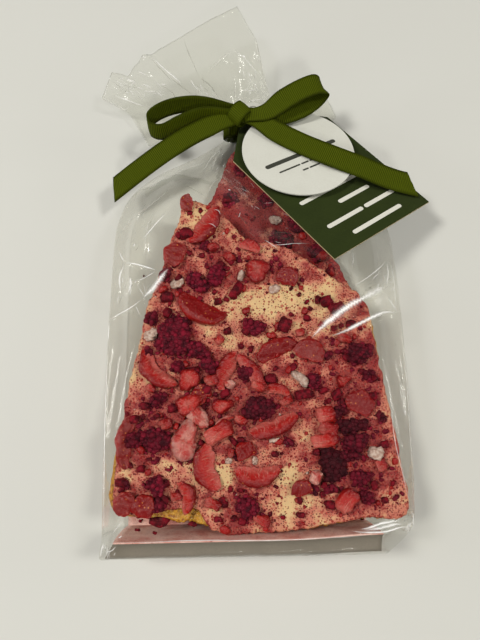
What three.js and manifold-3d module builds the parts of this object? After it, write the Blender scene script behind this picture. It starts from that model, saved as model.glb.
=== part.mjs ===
// Honeycomb toffee in a clear gift bag, lying on its back with the shown side up: the filled bag with its
// gathered neck and fanned mouth, the ribbon tied round the neck, and two card tags threaded on the ribbon.
// Millimetres, +Z up, +X across the bag, +Y from the base card towards the mouth of the bag.
import * as THREE from "three";
import { mergeVertices } from "three/addons/utils/BufferGeometryUtils.js";
import Module from "manifold-3d";

const wasm = await Module();
wasm.setup();

// Driving dimensions of the bag
const bagHalfWidth = 75;        // half the width of the base card end
const bagDepth = 40;            // back to front at the base
const baseSkirt = 9;            // the base card's turned-down edge, on the far side of the card from the food
const baseSlant = 3;            // how much the right end of the base sits nearer the mouth
const slabTop = 42;             // film height over the front slab
const slabStep = 3;             // how far the film dips beside the slab's edges
const slabStepWidth = 6;
const drapeDrop = 7;            // how far the film sinks past the slab's broken upper edge
const drapeWidth = 45;
const drapeStart = 90;
const gatherStart = 175;        // from here the bag draws in to its neck
const neckX = -8.5;             // the neck is gathered a little left of the middle
const neckZ = 8.5;
const neckHalfWidth = 9;
const neckHalfHeight = 4;
const neckStart = 228;
const neckEnd = 242;
const filmStack = 2.2;          // the folded film of the mouth, gathered in several layers
const pleatDepth = 1.1;
const neckPleats = 11;

// Driving dimensions of the ribbon
const ribbonWidth = 12;
const ribbonThick = 1;
const ribbonClearance = 0.45;   // from the wrap to the neck
const tieY = 232.5;
const wrapWidth = 9;            // the ribbon is drawn narrower round the neck
const knotCentre = [neckX, 233, 29.5];
const knotHalf = [5.4, 5.9, 4.1];

// Driving dimensions of the tags
const cardThick = 0.8;
const tagWidth = 75;
const tagLength = 116;
const tagClip = 30;             // legs of the two clipped corners at the threaded end
const tagHoleInset = 8;
const tagCorner = [40.3, 137.4, 48];
const tagEdgeHeading = 35;      // degrees from +X of the tag's free short edge
const tagEdgeSlope = -17;
const tagSideHeading = 129;
const tagSideSlope = -13;
const roundRadius = 32.5;
const roundCentre = [25.1, 208.4, 29];
const roundTilt = 17;           // degrees from level
const roundTiltHeading = 80;
const earReach = 39.3;          // from the disc's centre to the middle of its ear
const earRadius = 5.7;
const holeRadius = 2.7;
const threadedAt = [1.1, 238.5, 21.2];   // where the ribbon goes through both tags' holes

// Smooth value along a list of [place, value] keys
function alongKeys(keys) {
  const slope = (i) => {
    const a = keys[Math.max(i - 1, 0)];
    const b = keys[Math.min(i + 1, keys.length - 1)];
    return (b[1] - a[1]) / (b[0] - a[0]);
  };
  return (place) => {
    if (place <= keys[0][0]) return keys[0][1];
    const next = keys.findIndex((key) => key[0] >= place);
    if (next < 0) return keys[keys.length - 1][1];
    const [p0, v0] = keys[next - 1];
    const [p1, v1] = keys[next];
    const span = p1 - p0;
    const t = (place - p0) / span;
    const t2 = t * t;
    const t3 = t2 * t;
    return (2 * t3 - 3 * t2 + 1) * v0 + (t3 - 2 * t2 + t) * span * slope(next - 1)
      + (3 * t2 - 2 * t3) * v1 + (t3 - t2) * span * slope(next);
  };
}

const smooth = (t) => {
  const c = Math.min(Math.max(t, 0), 1);
  return c * c * (3 - 2 * c);
};
const signedPower = (value, power) => Math.sign(value) * Math.abs(value) ** power;
const degrees = (angle) => THREE.MathUtils.degToRad(angle);

function directionOf(heading, slope) {
  const h = degrees(heading);
  const s = degrees(slope);
  return new THREE.Vector3(Math.cos(s) * Math.cos(h), Math.cos(s) * Math.sin(h), Math.sin(s));
}

// A closed geometry from points and triangles, with its faces turned outwards
function closedGeometry(points, triangles) {
  const corner = triangles.map((triangle) => triangle.map((i) => new THREE.Vector3(...points[i])));
  const volume = corner.reduce((sum, [a, b, c]) => sum + a.dot(b.cross(c)) / 6, 0);
  if (volume < 0) triangles.forEach((triangle) => triangle.reverse());
  const geometry = new THREE.BufferGeometry();
  geometry.setAttribute("position", new THREE.Float32BufferAttribute(points.flat(), 3));
  geometry.setIndex(triangles.flat());
  return geometry;
}

// Rings of points joined by walls: capped at both ends, or with the last ring joined to the first
function loftRings(rings, joined = false) {
  const size = rings[0].length;
  const points = rings.flat();
  const triangles = [];
  const last = joined ? rings.length : rings.length - 1;
  for (let r = 0; r < last; r++) {
    const next = (r + 1) % rings.length;
    for (let i = 0; i < size; i++) {
      const a = r * size + i;
      const b = r * size + ((i + 1) % size);
      const c = next * size + i;
      const d = next * size + ((i + 1) % size);
      triangles.push([a, c, b], [b, c, d]);
    }
  }
  if (!joined) {
    for (const [r, front] of [[0, true], [rings.length - 1, false]]) {
      const centre = rings[r].reduce((sum, p) => sum.map((v, k) => v + p[k] / size), [0, 0, 0]);
      points.push(centre);
      const hub = points.length - 1;
      for (let i = 0; i < size; i++) {
        const a = r * size + i;
        const b = r * size + ((i + 1) % size);
        triangles.push(front ? [hub, a, b] : [hub, b, a]);
      }
    }
  }
  return closedGeometry(points, triangles);
}

// Joining and cutting
function toSolid(geometry) {
  const bare = geometry.clone();
  bare.deleteAttribute("normal");
  bare.deleteAttribute("uv");
  const merged = mergeVertices(bare, 1e-4);
  return new wasm.Manifold(new wasm.Mesh({
    numProp: 3,
    vertProperties: new Float32Array(merged.attributes.position.array),
    triVerts: new Uint32Array(merged.index.array),
  }));
}

function toGeometry(solid) {
  const mesh = solid.getMesh();
  const geometry = new THREE.BufferGeometry();
  geometry.setAttribute("position", new THREE.BufferAttribute(new Float32Array(mesh.vertProperties), 3));
  geometry.setIndex(new THREE.BufferAttribute(new Uint32Array(mesh.triVerts), 1));
  geometry.computeVertexNormals();
  return geometry;
}

const joinAll = (geometries) => toGeometry(geometries.map(toSolid).reduce((sum, solid) => sum.add(solid)));

// Outline of the front slab, which the film lies on: [x, y] from the lower left corner, anticlockwise
const frontSlab = [
  [-70, 9], [-30, 13], [-20, 2], [60, 5], [75, 12], [66, 74], [60, 116],
  [48, 127], [20, 147], [-4, 151], [-13, 163], [-38, 177], [-50, 140], [-62, 95], [-74, 30],
];

// Distance outside the slab's outline, nought on the slab
function offTheSlab(x, y) {
  let inside = false;
  let nearest = Infinity;
  for (let i = 0, j = frontSlab.length - 1; i < frontSlab.length; j = i++) {
    const [ax, ay] = frontSlab[j];
    const [bx, by] = frontSlab[i];
    const t = Math.min(Math.max(((x - ax) * (bx - ax) + (y - ay) * (by - ay))
      / ((bx - ax) ** 2 + (by - ay) ** 2), 0), 1);
    nearest = Math.min(nearest, Math.hypot(x - ax - t * (bx - ax), y - ay - t * (by - ay)));
    if ((ay > y) !== (by > y) && x < ax + (y - ay) * (bx - ax) / (by - ay)) inside = !inside;
  }
  return inside ? 0 : nearest;
}

// The bag along its length: how far it reaches left and right, the height of its side folds, the height of
// the film in the middle, and how far its back is off the table
const leftEdge = alongKeys([
  [-baseSkirt, -76], [0, -bagHalfWidth], [60, -77], [145, -77.5], [166, -77], [185, -71], [198, -59],
  [211, -39], [220, -26], [neckStart, neckX - neckHalfWidth], [neckEnd, neckX - neckHalfWidth],
]);
const rightEdge = alongKeys([
  [-baseSkirt, 63], [0, 73], [8, 76], [60, 77], [110, 76.5], [145, 75], [165, 73], [185, 63],
  [200, 48], [212, 32], [220, 16], [neckStart, neckX + neckHalfWidth], [neckEnd, neckX + neckHalfWidth],
]);
const foldHeight = alongKeys([
  [0, bagDepth], [67, 37], [110, 33], [145, 28], [175, 18], [190, 13.5], [205, 11],
  [neckStart, neckZ], [neckEnd, neckZ],
]);
const crownHeight = alongKeys([
  [0, bagDepth], [15, slabTop - 0.5], [60, slabTop], [140, slabTop], [160, 38],
  [175, 32.5], [190, 27], [205, 21.5], [218, 16], [neckStart, neckZ + neckHalfHeight],
  [237, neckZ + neckHalfHeight], [neckEnd, neckZ + 2],
]);
const backHeight = alongKeys([
  [0, 0], [196, 0], [208, 1], [218, 2.6], [neckStart, neckZ - neckHalfHeight],
  [neckEnd, neckZ - neckHalfHeight],
]);

// One cross-section of the bag: a flat back, steep sides, a fold along each side and the film on top
function bagRing(y) {
  const backPoints = 7;
  const sidePoints = 3;
  const topPoints = 33;
  const left = leftEdge(y);
  const right = rightEdge(y);
  const middle = (left + right) / 2;
  const half = (right - left) / 2;
  const fold = foldHeight(y);
  const toNeck = smooth((y - gatherStart) / (neckStart - gatherStart));
  const topPower = 5 - 3 * toNeck;
  const backPower = 14 - 12 * toNeck ** 0.5;
  const slant = baseSlant * Math.max(0, 1 - Math.max(y, 0) / 60);
  const ring = [];
  const add = (across, z) => {
    const x = middle + half * across;
    ring.push([x, y + slant * (across + 1) / 2, z]);
  };
  const backCurve = (across) => {
    const drop = Math.min(1, 1.03 * (1 - Math.abs(across) ** backPower) ** (1 / backPower));
    return fold - (fold - Math.max(backHeight(y), 0)) * drop;
  };
  const backReach = 0.93 - 0.13 * toNeck;
  for (let i = 0; i <= backPoints; i++) {
    const across = backReach * (2 * i / backPoints - 1);
    add(across, backCurve(across));
  }
  const sideAcross = (i) => 1 - (1 - backReach) * (1 - i / (sidePoints + 1)) ** 2;
  for (let i = 1; i <= sidePoints; i++) add(sideAcross(i), backCurve(sideAcross(i)));
  for (let i = 0; i <= topPoints; i++) {
    const angle = Math.PI * i / topPoints;
    const across = signedPower(Math.cos(angle), 0.8);
    const crown = fold + (crownHeight(y) - fold) * (1 - Math.abs(across) ** topPower) ** (1 / topPower);
    const off = offTheSlab(middle + half * across, y);
    const nearEdge = 1 - Math.abs(across) ** 6;
    const dip = slabStep * smooth(off / slabStepWidth) * smooth((y + 6) / 12);
    const drape = drapeDrop * smooth(off / drapeWidth) * smooth((y - drapeStart) / 60);
    const gathered = smooth((y - gatherStart) / 30) * (1 - smooth((y - 215) / 12));
    const pleat = pleatDepth * Math.sin(angle * neckPleats) * gathered;
    const relief = nearEdge * (pleat - (dip + drape) * (1 - toNeck));
    add(across, Math.max(crown + relief, fold - slabStep));
  }
  for (let i = sidePoints; i >= 1; i--) add(-sideAcross(i), backCurve(sideAcross(i)));
  return ring;
}

function bagBody() {
  const stations = [-baseSkirt, -5, 0];
  for (let y = 4; y < 24; y += 4) stations.push(y);
  for (let y = 24; y < 120; y += 8) stations.push(y);
  for (let y = 120; y < neckStart; y += 5) stations.push(y);
  stations.push(neckStart, 233, 238, neckEnd);
  return loftRings(stations.map(bagRing));
}

// The mouth of the bag above the tie: [x, y, z] round its edge from right to left. The front film fans up
// and to the left, and the back film spreads low on both sides.
const mouthEdge = [
  [38, 232, 2.4], [52.3, 246.4, 2.4], [47, 259.1, 2.4], [38, 262, 2.6], [16, 256, 4.2], [10.3, 257.3, 6],
  [6, 270, 16], [1.3, 284.8, 24], [-10.3, 305.5, 27.5], [-27.4, 295, 28.5], [-44.5, 284.5, 27],
  [-61.7, 273.7, 26], [-67, 271.6, 26.5], [-76.8, 261.5, 22], [-85.8, 262.8, 23], [-93.6, 252.6, 14],
  [-77.9, 246.5, 7], [-72, 237, 3.2], [-66.1, 227, 2.6], [-46, 228, 2.6],
];

function bagMouth() {
  const cuts = 3;
  const steps = 6;
  const root = new THREE.Vector3(neckX, neckEnd, neckZ);
  const across = [];
  for (let i = 0; i < mouthEdge.length - 1; i++) {
    for (let c = 0; c < cuts; c++) {
      const from = new THREE.Vector3(...mouthEdge[i]);
      across.push(from.lerp(new THREE.Vector3(...mouthEdge[i + 1]), c / cuts));
    }
  }
  across.push(new THREE.Vector3(...mouthEdge[mouthEdge.length - 1]));
  const rings = across.map((edge, i) => {
    const lifted = smooth((edge.z - 8) / 10);
    const line = [];
    for (let s = 0; s <= steps; s++) {
      const out = 0.05 + 0.95 * s / steps;
      const p = root.clone().lerp(edge, out);
      const rise = (edge.z - neckZ) * (out ** 0.85 - out);
      const pleat = pleatDepth * Math.sin(i * Math.PI / 2) * Math.sin(out * Math.PI * 0.6) * lifted;
      line.push([p.x, p.y, p.z + rise + pleat]);
    }
    const over = line.map(([x, y, z]) => [x, y, z + filmStack / 2]);
    const under = line.map(([x, y, z]) => [x, y, z - filmStack / 2]).reverse();
    return [...over, ...under];
  });
  return loftRings(rings);
}

// A flat band swept along points. Each point is [x, y, z]; facing is the direction of the band's width.
// endCut slants the last end: one edge runs on by this much and the other falls short.
function band(points, facing, { steps = 24, widths = [ribbonWidth, ribbonWidth], endCut = 0 } = {}) {
  const curve = new THREE.CatmullRomCurve3(points.map((p) => new THREE.Vector3(...p)), false, "centripetal");
  const rings = [];
  for (let i = 0; i <= steps; i++) {
    const t = i / steps;
    const centre = curve.getPointAt(t);
    const along = curve.getTangentAt(t);
    const wide = facing(t).clone().addScaledVector(along, -facing(t).dot(along)).normalize();
    const thin = new THREE.Vector3().crossVectors(along, wide);
    const grow = smooth(Math.min(t, 1 - (endCut ? 0 : t)) / 0.25);
    const half = THREE.MathUtils.lerp(widths[0], widths[1], grow) / 2;
    const cut = i === steps ? endCut : 0;
    rings.push([[-1, -1], [1, -1], [1, 1], [-1, 1]].map(([w, n]) => centre.clone()
      .addScaledVector(wide, w * half)
      .addScaledVector(thin, n * ribbonThick / 2)
      .addScaledVector(along, -w * cut).toArray()));
  }
  return loftRings(rings);
}

const steady = (x, y, z) => {
  const direction = new THREE.Vector3(x, y, z).normalize();
  return () => direction;
};

// The turn of ribbon round the neck
function neckWrap() {
  const turns = 28;
  const rings = [];
  for (let i = 0; i < turns; i++) {
    const angle = 2 * Math.PI * i / turns;
    const at = (grow, y) => [
      neckX + (neckHalfWidth + grow) * Math.cos(angle), y, neckZ + (neckHalfHeight + grow) * Math.sin(angle),
    ];
    const inner = ribbonClearance;
    const outer = ribbonClearance + ribbonThick;
    const low = tieY - wrapWidth / 2;
    const high = tieY + wrapWidth / 2;
    rings.push([at(inner, low), at(inner, high), at(outer, high), at(outer, low)]);
  }
  return loftRings(rings, true);
}

function knot() {
  const geometry = new THREE.SphereGeometry(1, 14, 10);
  geometry.scale(...knotHalf);
  geometry.translate(...knotCentre);
  return geometry;
}

// The ribbon's folded stem on the right: from the knot through both tags' holes to the wrap
function threadedStem() {
  return band([
    [-6, 234.5, 28], [-1.5, 237.5, 26], [1.1, 238.6, 21.5], [3, 239.8, 16], [3.5, 239.8, 12.7],
    [2.9, 237, 10], [1.3, 234.5, 8.5],
  ], steady(0.3, 1, 0), { widths: [2.6, 2.6], steps: 18 });
}

// The ribbon's stem on the left: straight from the wrap to the knot, beside the tag
function bareStem() {
  return band([[-14.8, 232.5, 12.6], [-14.2, 232.5, 19], [-11.5, 232.5, 27]], steady(0, 1, 0),
    { widths: [8, 8], steps: 8 });
}

function leftLoop() {
  return band([
    [-10, 234.5, 30], [-28.9, 238.2, 30], [-46.4, 236.9, 30], [-56.8, 232.3, 30], [-61.3, 227.2, 30],
    [-60, 222.1, 30], [-54.1, 220.2, 30], [-43.3, 225.9, 30], [-28.9, 231.8, 30], [-10, 232, 30],
  ], steady(0, 0.24, 0.97), { widths: [7, ribbonWidth], steps: 34 });
}

function rightLoop() {
  return band([
    [-6, 232, 31.5], [6.5, 233, 33.5], [17.3, 238.1, 36.5], [28.6, 242.9, 38.5], [36.3, 246.1, 37.5],
    [39.6, 246.4, 33.8], [37.2, 244, 30.2], [29.7, 238.2, 28.4], [17.9, 233, 28], [4.4, 231, 28.6],
    [-6, 231.5, 29],
  ], steady(0.45, -0.87, -0.18), { widths: [7, ribbonWidth], steps: 34 });
}

function leftTail() {
  return band([
    [-9, 230.5, 28.5], [-20, 227.5, 28.6], [-31.8, 222, 28.6], [-47.2, 212.5, 28], [-63, 202.1, 25],
    [-81.8, 188.4, 21],
  ], steady(0.5, -0.84, -0.18), { widths: [8, ribbonWidth], steps: 16, endCut: -4 });
}

function rightTail() {
  return band([
    [-8, 231, 30], [0, 228.4, 30.5], [11.8, 220.4, 31], [26, 211.6, 32.6], [42.7, 202.6, 35.2],
    [59.6, 196, 34.6], [76.6, 190.6, 31], [89.5, 187.6, 29.5],
  ], steady(-0.37, -0.91, -0.19), { widths: [8, ribbonWidth], steps: 20, endCut: -5 });
}

// A frame whose x runs along a card's edge, y up the card and z out of its face
function cardFrame(origin, edge, side) {
  const out = new THREE.Vector3().crossVectors(edge, side).normalize();
  const up = new THREE.Vector3().crossVectors(out, edge).normalize();
  return new THREE.Matrix4().makeBasis(edge, up, out).setPosition(...origin);
}

// A card cut from an outline with one hole, its middle plane on the outline
function cutCard(shape, holeX, holeY, curveSegments) {
  const hole = new THREE.Path();
  hole.absarc(holeX, holeY, holeRadius, 0, 2 * Math.PI, true);
  shape.holes.push(hole);
  const geometry = new THREE.ExtrudeGeometry(shape, { depth: cardThick, bevelEnabled: false, curveSegments });
  geometry.translate(0, 0, -cardThick / 2);
  return geometry;
}

// The dark green card with two clipped corners
function clippedCard() {
  const shape = new THREE.Shape();
  shape.moveTo(0, 0);
  shape.lineTo(tagWidth, 0);
  shape.lineTo(tagWidth, tagLength - tagClip);
  shape.lineTo(tagWidth - tagClip, tagLength);
  shape.lineTo(tagClip, tagLength);
  shape.lineTo(0, tagLength - tagClip);
  const geometry = cutCard(shape, tagWidth / 2, tagLength - tagHoleInset, 12);
  const edge = directionOf(tagEdgeHeading, tagEdgeSlope);
  const side = directionOf(tagSideHeading, tagSideSlope);
  geometry.applyMatrix4(cardFrame(tagCorner, edge, side));
  return geometry;
}

// The round white card and its ear, which points to the knot
function roundCard() {
  const out = directionOf(roundTiltHeading, 90 - roundTilt);
  const toEar = new THREE.Vector3(...threadedAt).sub(new THREE.Vector3(...roundCentre));
  toEar.addScaledVector(out, -toEar.dot(out)).normalize();
  const edge = new THREE.Vector3().crossVectors(toEar, out);
  const joinAngle = Math.asin(earRadius / roundRadius);
  const shape = new THREE.Shape();
  shape.absarc(0, 0, roundRadius, Math.PI / 2 + joinAngle, Math.PI * 2.5 - joinAngle, false);
  shape.absarc(0, earReach, earRadius, 0, Math.PI, false);
  const geometry = cutCard(shape, 0, earReach, 36);
  geometry.applyMatrix4(cardFrame(roundCentre, edge, toEar));
  return geometry;
}

function named(name, geometry, colour, roughness) {
  const material = new THREE.MeshStandardMaterial({ color: colour, roughness, metalness: 0 });
  const mesh = new THREE.Mesh(geometry, material);
  mesh.name = name;
  return mesh;
}

const ribbonParts = [
  neckWrap(), bareStem(), threadedStem(), knot(), leftLoop(), rightLoop(), leftTail(), rightTail(),
];

const pack = new THREE.Group();
pack.add(
  named("bag", joinAll([bagBody(), bagMouth()]), "#c98f86", 0.2),
  named("ribbon", joinAll(ribbonParts), "#4f6118", 0.7),
  named("tag_card", clippedCard(), "#2f3f24", 0.6),
  named("tag_round", roundCard(), "#e6e5dc", 0.6),
);

// The origin is the middle of the footprint of the whole pack, on the table
const bounds = new THREE.Box3().setFromObject(pack);
const middle = bounds.getCenter(new THREE.Vector3());
pack.position.set(-middle.x, -middle.y, -bounds.min.z);
pack.updateMatrixWorld(true);

export default pack;
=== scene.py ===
# Honeycomb toffee in a clear gift bag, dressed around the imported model. Sizes are in millimetres, measured
# in the bag's own frame: x across from the bag's centre line, y from the base card to the mouth, z up.
import math

import bmesh
import bpy
import numpy as np
from mathutils import Matrix, Vector
from mathutils.bvhtree import BVHTree


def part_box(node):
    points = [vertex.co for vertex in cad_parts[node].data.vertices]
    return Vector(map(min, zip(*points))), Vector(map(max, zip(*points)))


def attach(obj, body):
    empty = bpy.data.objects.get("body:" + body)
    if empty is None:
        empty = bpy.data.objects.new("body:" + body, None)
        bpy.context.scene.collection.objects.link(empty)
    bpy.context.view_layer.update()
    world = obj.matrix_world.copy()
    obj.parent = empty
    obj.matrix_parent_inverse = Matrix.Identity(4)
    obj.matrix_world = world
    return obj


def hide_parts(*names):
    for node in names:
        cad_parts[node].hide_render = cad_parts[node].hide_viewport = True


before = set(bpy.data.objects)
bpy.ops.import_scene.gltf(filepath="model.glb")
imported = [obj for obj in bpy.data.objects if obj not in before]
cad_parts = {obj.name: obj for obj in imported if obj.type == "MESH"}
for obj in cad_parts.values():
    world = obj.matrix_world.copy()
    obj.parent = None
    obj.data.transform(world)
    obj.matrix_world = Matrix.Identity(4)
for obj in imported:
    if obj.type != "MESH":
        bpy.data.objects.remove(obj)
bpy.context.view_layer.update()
body = "root"

# The bag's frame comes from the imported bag: its lowest x is the mouth's tip, its lowest y the base's edge
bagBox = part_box("bag")
mouthTip = -93.6
baseSkirt = 9.0
toRow = np.array([bagBox[0].x * 1000 - mouthTip, bagBox[0].y * 1000 + baseSkirt, 0.0])


def inRow(points):
    # millimetres in the bag's frame to metres in the part's
    return (np.asarray(points, float) + toRow) / 1000


# Small maths helpers
def smooth(t):
    # eases from nought to one
    c = np.clip(t, 0, 1)
    return c * c * (3 - 2 * c)


def unit(vectors):
    # the same directions, each of length one
    return vectors / np.linalg.norm(vectors, axis=-1, keepdims=True)


def squared(values, power):
    # pushes values between -1 and 1 outwards, which squares a circle
    return np.sign(values) * np.abs(values) ** power


def anglesRound(count):
    return np.linspace(0, 2 * math.pi, count, endpoint=False)


def hermite(t, start, leave, end, arrive):
    # a smooth way from start to end; leave and arrive are its slopes there
    t2, t3 = t * t, t * t * t
    first = (2 * t3 - 3 * t2 + 1) * start + (t3 - 2 * t2 + t) * leave
    return first + (3 * t2 - 2 * t3) * end + (t3 - t2) * arrive


def alongKeys(keys):
    # smooth value along a list of (place, value) keys
    places, values = np.array(keys, float).T
    ends = np.arange(len(places))
    before, after = np.maximum(ends - 1, 0), np.minimum(ends + 1, len(places) - 1)
    slopes = (values[after] - values[before]) / (places[after] - places[before])

    def value(place):
        p = np.clip(place, places[0], places[-1])
        i = np.clip(np.searchsorted(places, p) - 1, 0, len(places) - 2)
        span = places[i + 1] - places[i]
        leave, arrive = span * slopes[i], span * slopes[i + 1]
        return hermite((p - places[i]) / span, values[i], leave, values[i + 1], arrive)
    return value


def ripples(points, size, seed):
    # smooth uneven relief between about -1 and 1: a sum of waves in seeded headings
    waves = 14
    rng = np.random.default_rng(seed)
    heading = unit(rng.normal(size=(waves, 3)))
    heading *= (2 * math.pi / size * rng.uniform(0.6, 1.6, waves))[:, None]
    phase = rng.uniform(0, 2 * math.pi, waves)
    return np.sin(np.asarray(points) @ heading.T + phase).sum(1) / math.sqrt(waves)


def dents(points, size, seeds):
    # ripples along x, y and z, one seed for each
    return np.stack([ripples(points, size, seed) for seed in seeds], 1)


def facets(points, size, seed, waves=5):
    # flat facets with sharp creases between them: a sum of zigzag waves in seeded headings
    rng = np.random.default_rng(seed)
    angle = rng.uniform(0, math.pi, waves)
    heading = np.stack([np.cos(angle), np.sin(angle)]) / size * rng.uniform(0.6, 1.5, waves)
    zigzag = np.abs((np.asarray(points)[:, :2] @ heading + rng.uniform(0, 1, waves)) % 1 * 2 - 1) * 2 - 1
    return zigzag.sum(1) / math.sqrt(waves)


def distanceToLine(xy, line):
    # distance of points to a line of points, and how far along it the nearest place is, 0 to 1
    best = np.full(len(xy), 1e9)
    along = np.zeros(len(xy))
    line = np.array(line, float)
    lengths = np.linalg.norm(np.diff(line, axis=0), axis=1)
    total = lengths.sum()
    done = 0.0
    for a, b, length in zip(line[:-1], line[1:], lengths):
        t = np.clip(((xy - a) @ (b - a)) / length ** 2, 0, 1)
        far = np.linalg.norm(xy - a - t[:, None] * (b - a), axis=1)
        closer = far < best
        best[closer] = far[closer]
        along[closer] = (done + t[closer] * length) / total
        done += length
    return best, along


def lengthAlong(points):
    # how far along a line of points each one lies
    return np.concatenate([[0], np.cumsum(np.linalg.norm(np.diff(points, axis=0), axis=1))])


def pointsAt(places, along, points):
    # the points at places on a line whose own points lie at along
    return np.stack([np.interp(places, along, column) for column in points.T], 1)


def closedRing(outline):
    # an outline as points that end where they start
    ring = np.array(outline, float)
    return np.vstack([ring, ring[:1]])


def distanceOutside(xy, outline):
    # how far points lie outside a closed outline, and how deep inside it
    ring = closedRing(outline)
    far, _ = distanceToLine(xy, ring)
    inside = np.zeros(len(xy), bool)
    for a, b in zip(ring[:-1], ring[1:]):
        crosses = (a[1] > xy[:, 1]) != (b[1] > xy[:, 1])
        rise = b[1] - a[1] if b[1] != a[1] else 1e-9
        inside ^= crosses & (xy[:, 0] < a[0] + (xy[:, 1] - a[1]) * (b[0] - a[0]) / rise)
    return np.where(inside, 0, far), np.where(inside, far, 0)


def bellAt(points, x, y, across, along):
    # a soft round share of one at x, y that fades out with distance
    return np.exp(-(((points[:, 0] - x) / across) ** 2 + ((points[:, 1] - y) / along) ** 2))


def turned(heading):
    # a turn about the upright axis, in degrees
    a = math.radians(heading)
    return np.array([[math.cos(a), -math.sin(a), 0], [math.sin(a), math.cos(a), 0], [0, 0, 1]])


def leaned(axis, angle):
    # a turn about the named axis, in degrees
    return np.array(Matrix.Rotation(math.radians(angle), 3, axis))


def splineThrough(points, step):
    # even points on a smooth curve through the given ones
    points = np.array(points, float)
    padded = np.vstack([2 * points[0] - points[1], points, 2 * points[-1] - points[-2]])
    fine = []
    for i in range(1, len(padded) - 2):
        p0, p1, p2, p3 = padded[i - 1:i + 3]
        t = np.linspace(0, 1, 40, endpoint=i == len(padded) - 3)[:, None]
        k0, k1, k2 = (max(np.linalg.norm(b - a) ** 0.5, 1e-3) for a, b in ((p0, p1), (p1, p2), (p2, p3)))
        leave = (p2 - p1) + k1 * ((p1 - p0) / k0 - (p2 - p0) / (k0 + k1))
        arrive = (p2 - p1) + k1 * ((p3 - p2) / k2 - (p3 - p1) / (k1 + k2))
        fine.append(hermite(t, p1, leave, p2, arrive))
    fine = np.vstack(fine)
    along = lengthAlong(fine)
    places = np.linspace(0, along[-1], max(int(along[-1] / step), 8))
    return pointsAt(places, along, fine), places


# Mesh helpers
def gridFaces(rows, columns, closed=False):
    # quads of a grid of points, row by row; closed joins the last column to the first
    faces = []
    across = columns if closed else columns - 1
    for r in range(rows - 1):
        for c in range(across):
            d = (c + 1) % columns
            faces.append((r * columns + c, r * columns + d, (r + 1) * columns + d, (r + 1) * columns + c))
    return faces


def closedFaces(rows, columns):
    # a closed grid whose first and last rows fan in to the two points that follow the grid
    faces = gridFaces(rows, columns, closed=True)
    hub, last = rows * columns, (rows - 1) * columns
    for c in range(columns):
        d = (c + 1) % columns
        faces += [(hub, d, c), (hub + 1, last + c, last + d)]
    return faces


def foldedEnds(rows, columns):
    # quads that close both ends of a closed grid whose rows run out and back
    faces = []
    for start in (0, (rows - 1) * columns):
        for c in range(columns // 2 - 1):
            faces.append((start + c, start + c + 1, start + columns - 2 - c, start + columns - 1 - c))
    return faces


def meshPiece(name, points, faces, materials, attributes=None, faceMaterial=None, sheet=False, flat=False,
              uv=None):
    # a piece in its place; unless it is an open sheet or flat shaded, its faces are turned outwards
    mesh = bpy.data.meshes.new(name)
    mesh.from_pydata(inRow(points).tolist(), [], [tuple(f) for f in faces])
    for key, values in (attributes or {}).items():
        layer = mesh.attributes.new(key, "FLOAT", "POINT")
        layer.data.foreach_set("value", np.asarray(values, np.float32))
    if uv is not None:
        layer = mesh.uv_layers.new(name="section")
        corner = np.empty(len(mesh.loops), np.int32)
        mesh.loops.foreach_get("vertex_index", corner)
        layer.data.foreach_set("uv", np.asarray(uv, np.float32)[corner].ravel())
    for material in materials:
        mesh.materials.append(material)
    if faceMaterial is not None:
        mesh.polygons.foreach_set("material_index", np.asarray(faceMaterial, np.int32))
    mesh.polygons.foreach_set("use_smooth", [not flat] * len(mesh.polygons))
    mesh.validate()
    piece = bpy.data.objects.new(name, mesh)
    bpy.context.scene.collection.objects.link(piece)
    if not (sheet or flat):
        shape = bmesh.new()
        shape.from_mesh(mesh)
        bmesh.ops.recalc_face_normals(shape, faces=shape.faces)
        shape.to_mesh(mesh)
        shape.free()
    return piece


def joinShapes(shapes):
    # many small (points, faces) shapes as one list of points and faces
    points, faces, start = [], [], 0
    for p, f in shapes:
        points.append(p)
        faces += [tuple(i + start for i in face) for face in f]
        start += len(p)
    return np.vstack(points), faces


def pile(name, shapes, material, values=None, uv=None):
    # many small shapes as one piece; values holds lists with one number for each shape
    points, faces = joinShapes(shapes)
    attributes = {key: np.concatenate([np.full(len(shape[0]), value) for shape, value in zip(shapes, each)])
                  for key, each in (values or {}).items()}
    return meshPiece(name, points, faces, [material], attributes, uv=uv)


# Colour and node helpers
def colour(code):
    # a screen colour as linear red, green, blue and alpha
    parts = [int(code[i:i + 2], 16) / 255 for i in (1, 3, 5)]
    return tuple(c / 12.92 if c <= 0.04045 else ((c + 0.055) / 1.055) ** 2.4 for c in parts) + (1.0,)


def nodeAdder(tree, family=""):
    # add makes a node with its settings, links or sets its inputs, and gives its outputs; where a node's
    # outputs are given as an input, the first of them is linked
    def add(kind, inputs=None, **settings):
        node = tree.nodes.new(family + kind)
        for key, value in settings.items():
            setattr(node, key, value)
        for key, value in (inputs or {}).items():
            for source in value if isinstance(value, list) else [value]:
                if isinstance(source, bpy.types.bpy_prop_collection):
                    source = source[0]
                if isinstance(source, bpy.types.NodeSocket):
                    tree.links.new(source, node.inputs[key])
                else:
                    node.inputs[key].default_value = source
        return node.outputs
    return add


def newMaterial(name, patterns):
    # a bare material, its node adder, its place on the object and its noises, which are given as
    # (patch width, detail, roughness)
    material = bpy.data.materials.new(name)
    material.use_nodes = True
    material.node_tree.nodes.clear()
    add = nodeAdder(material.node_tree, "ShaderNode")
    place = add("TexCoord")["Object"]
    noises = [add("TexNoise", {"Vector": place, "Scale": 1000 / size, "Detail": detail, "Roughness": rough})
              for size, detail, rough in patterns]
    return material, add, place, noises


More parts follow.
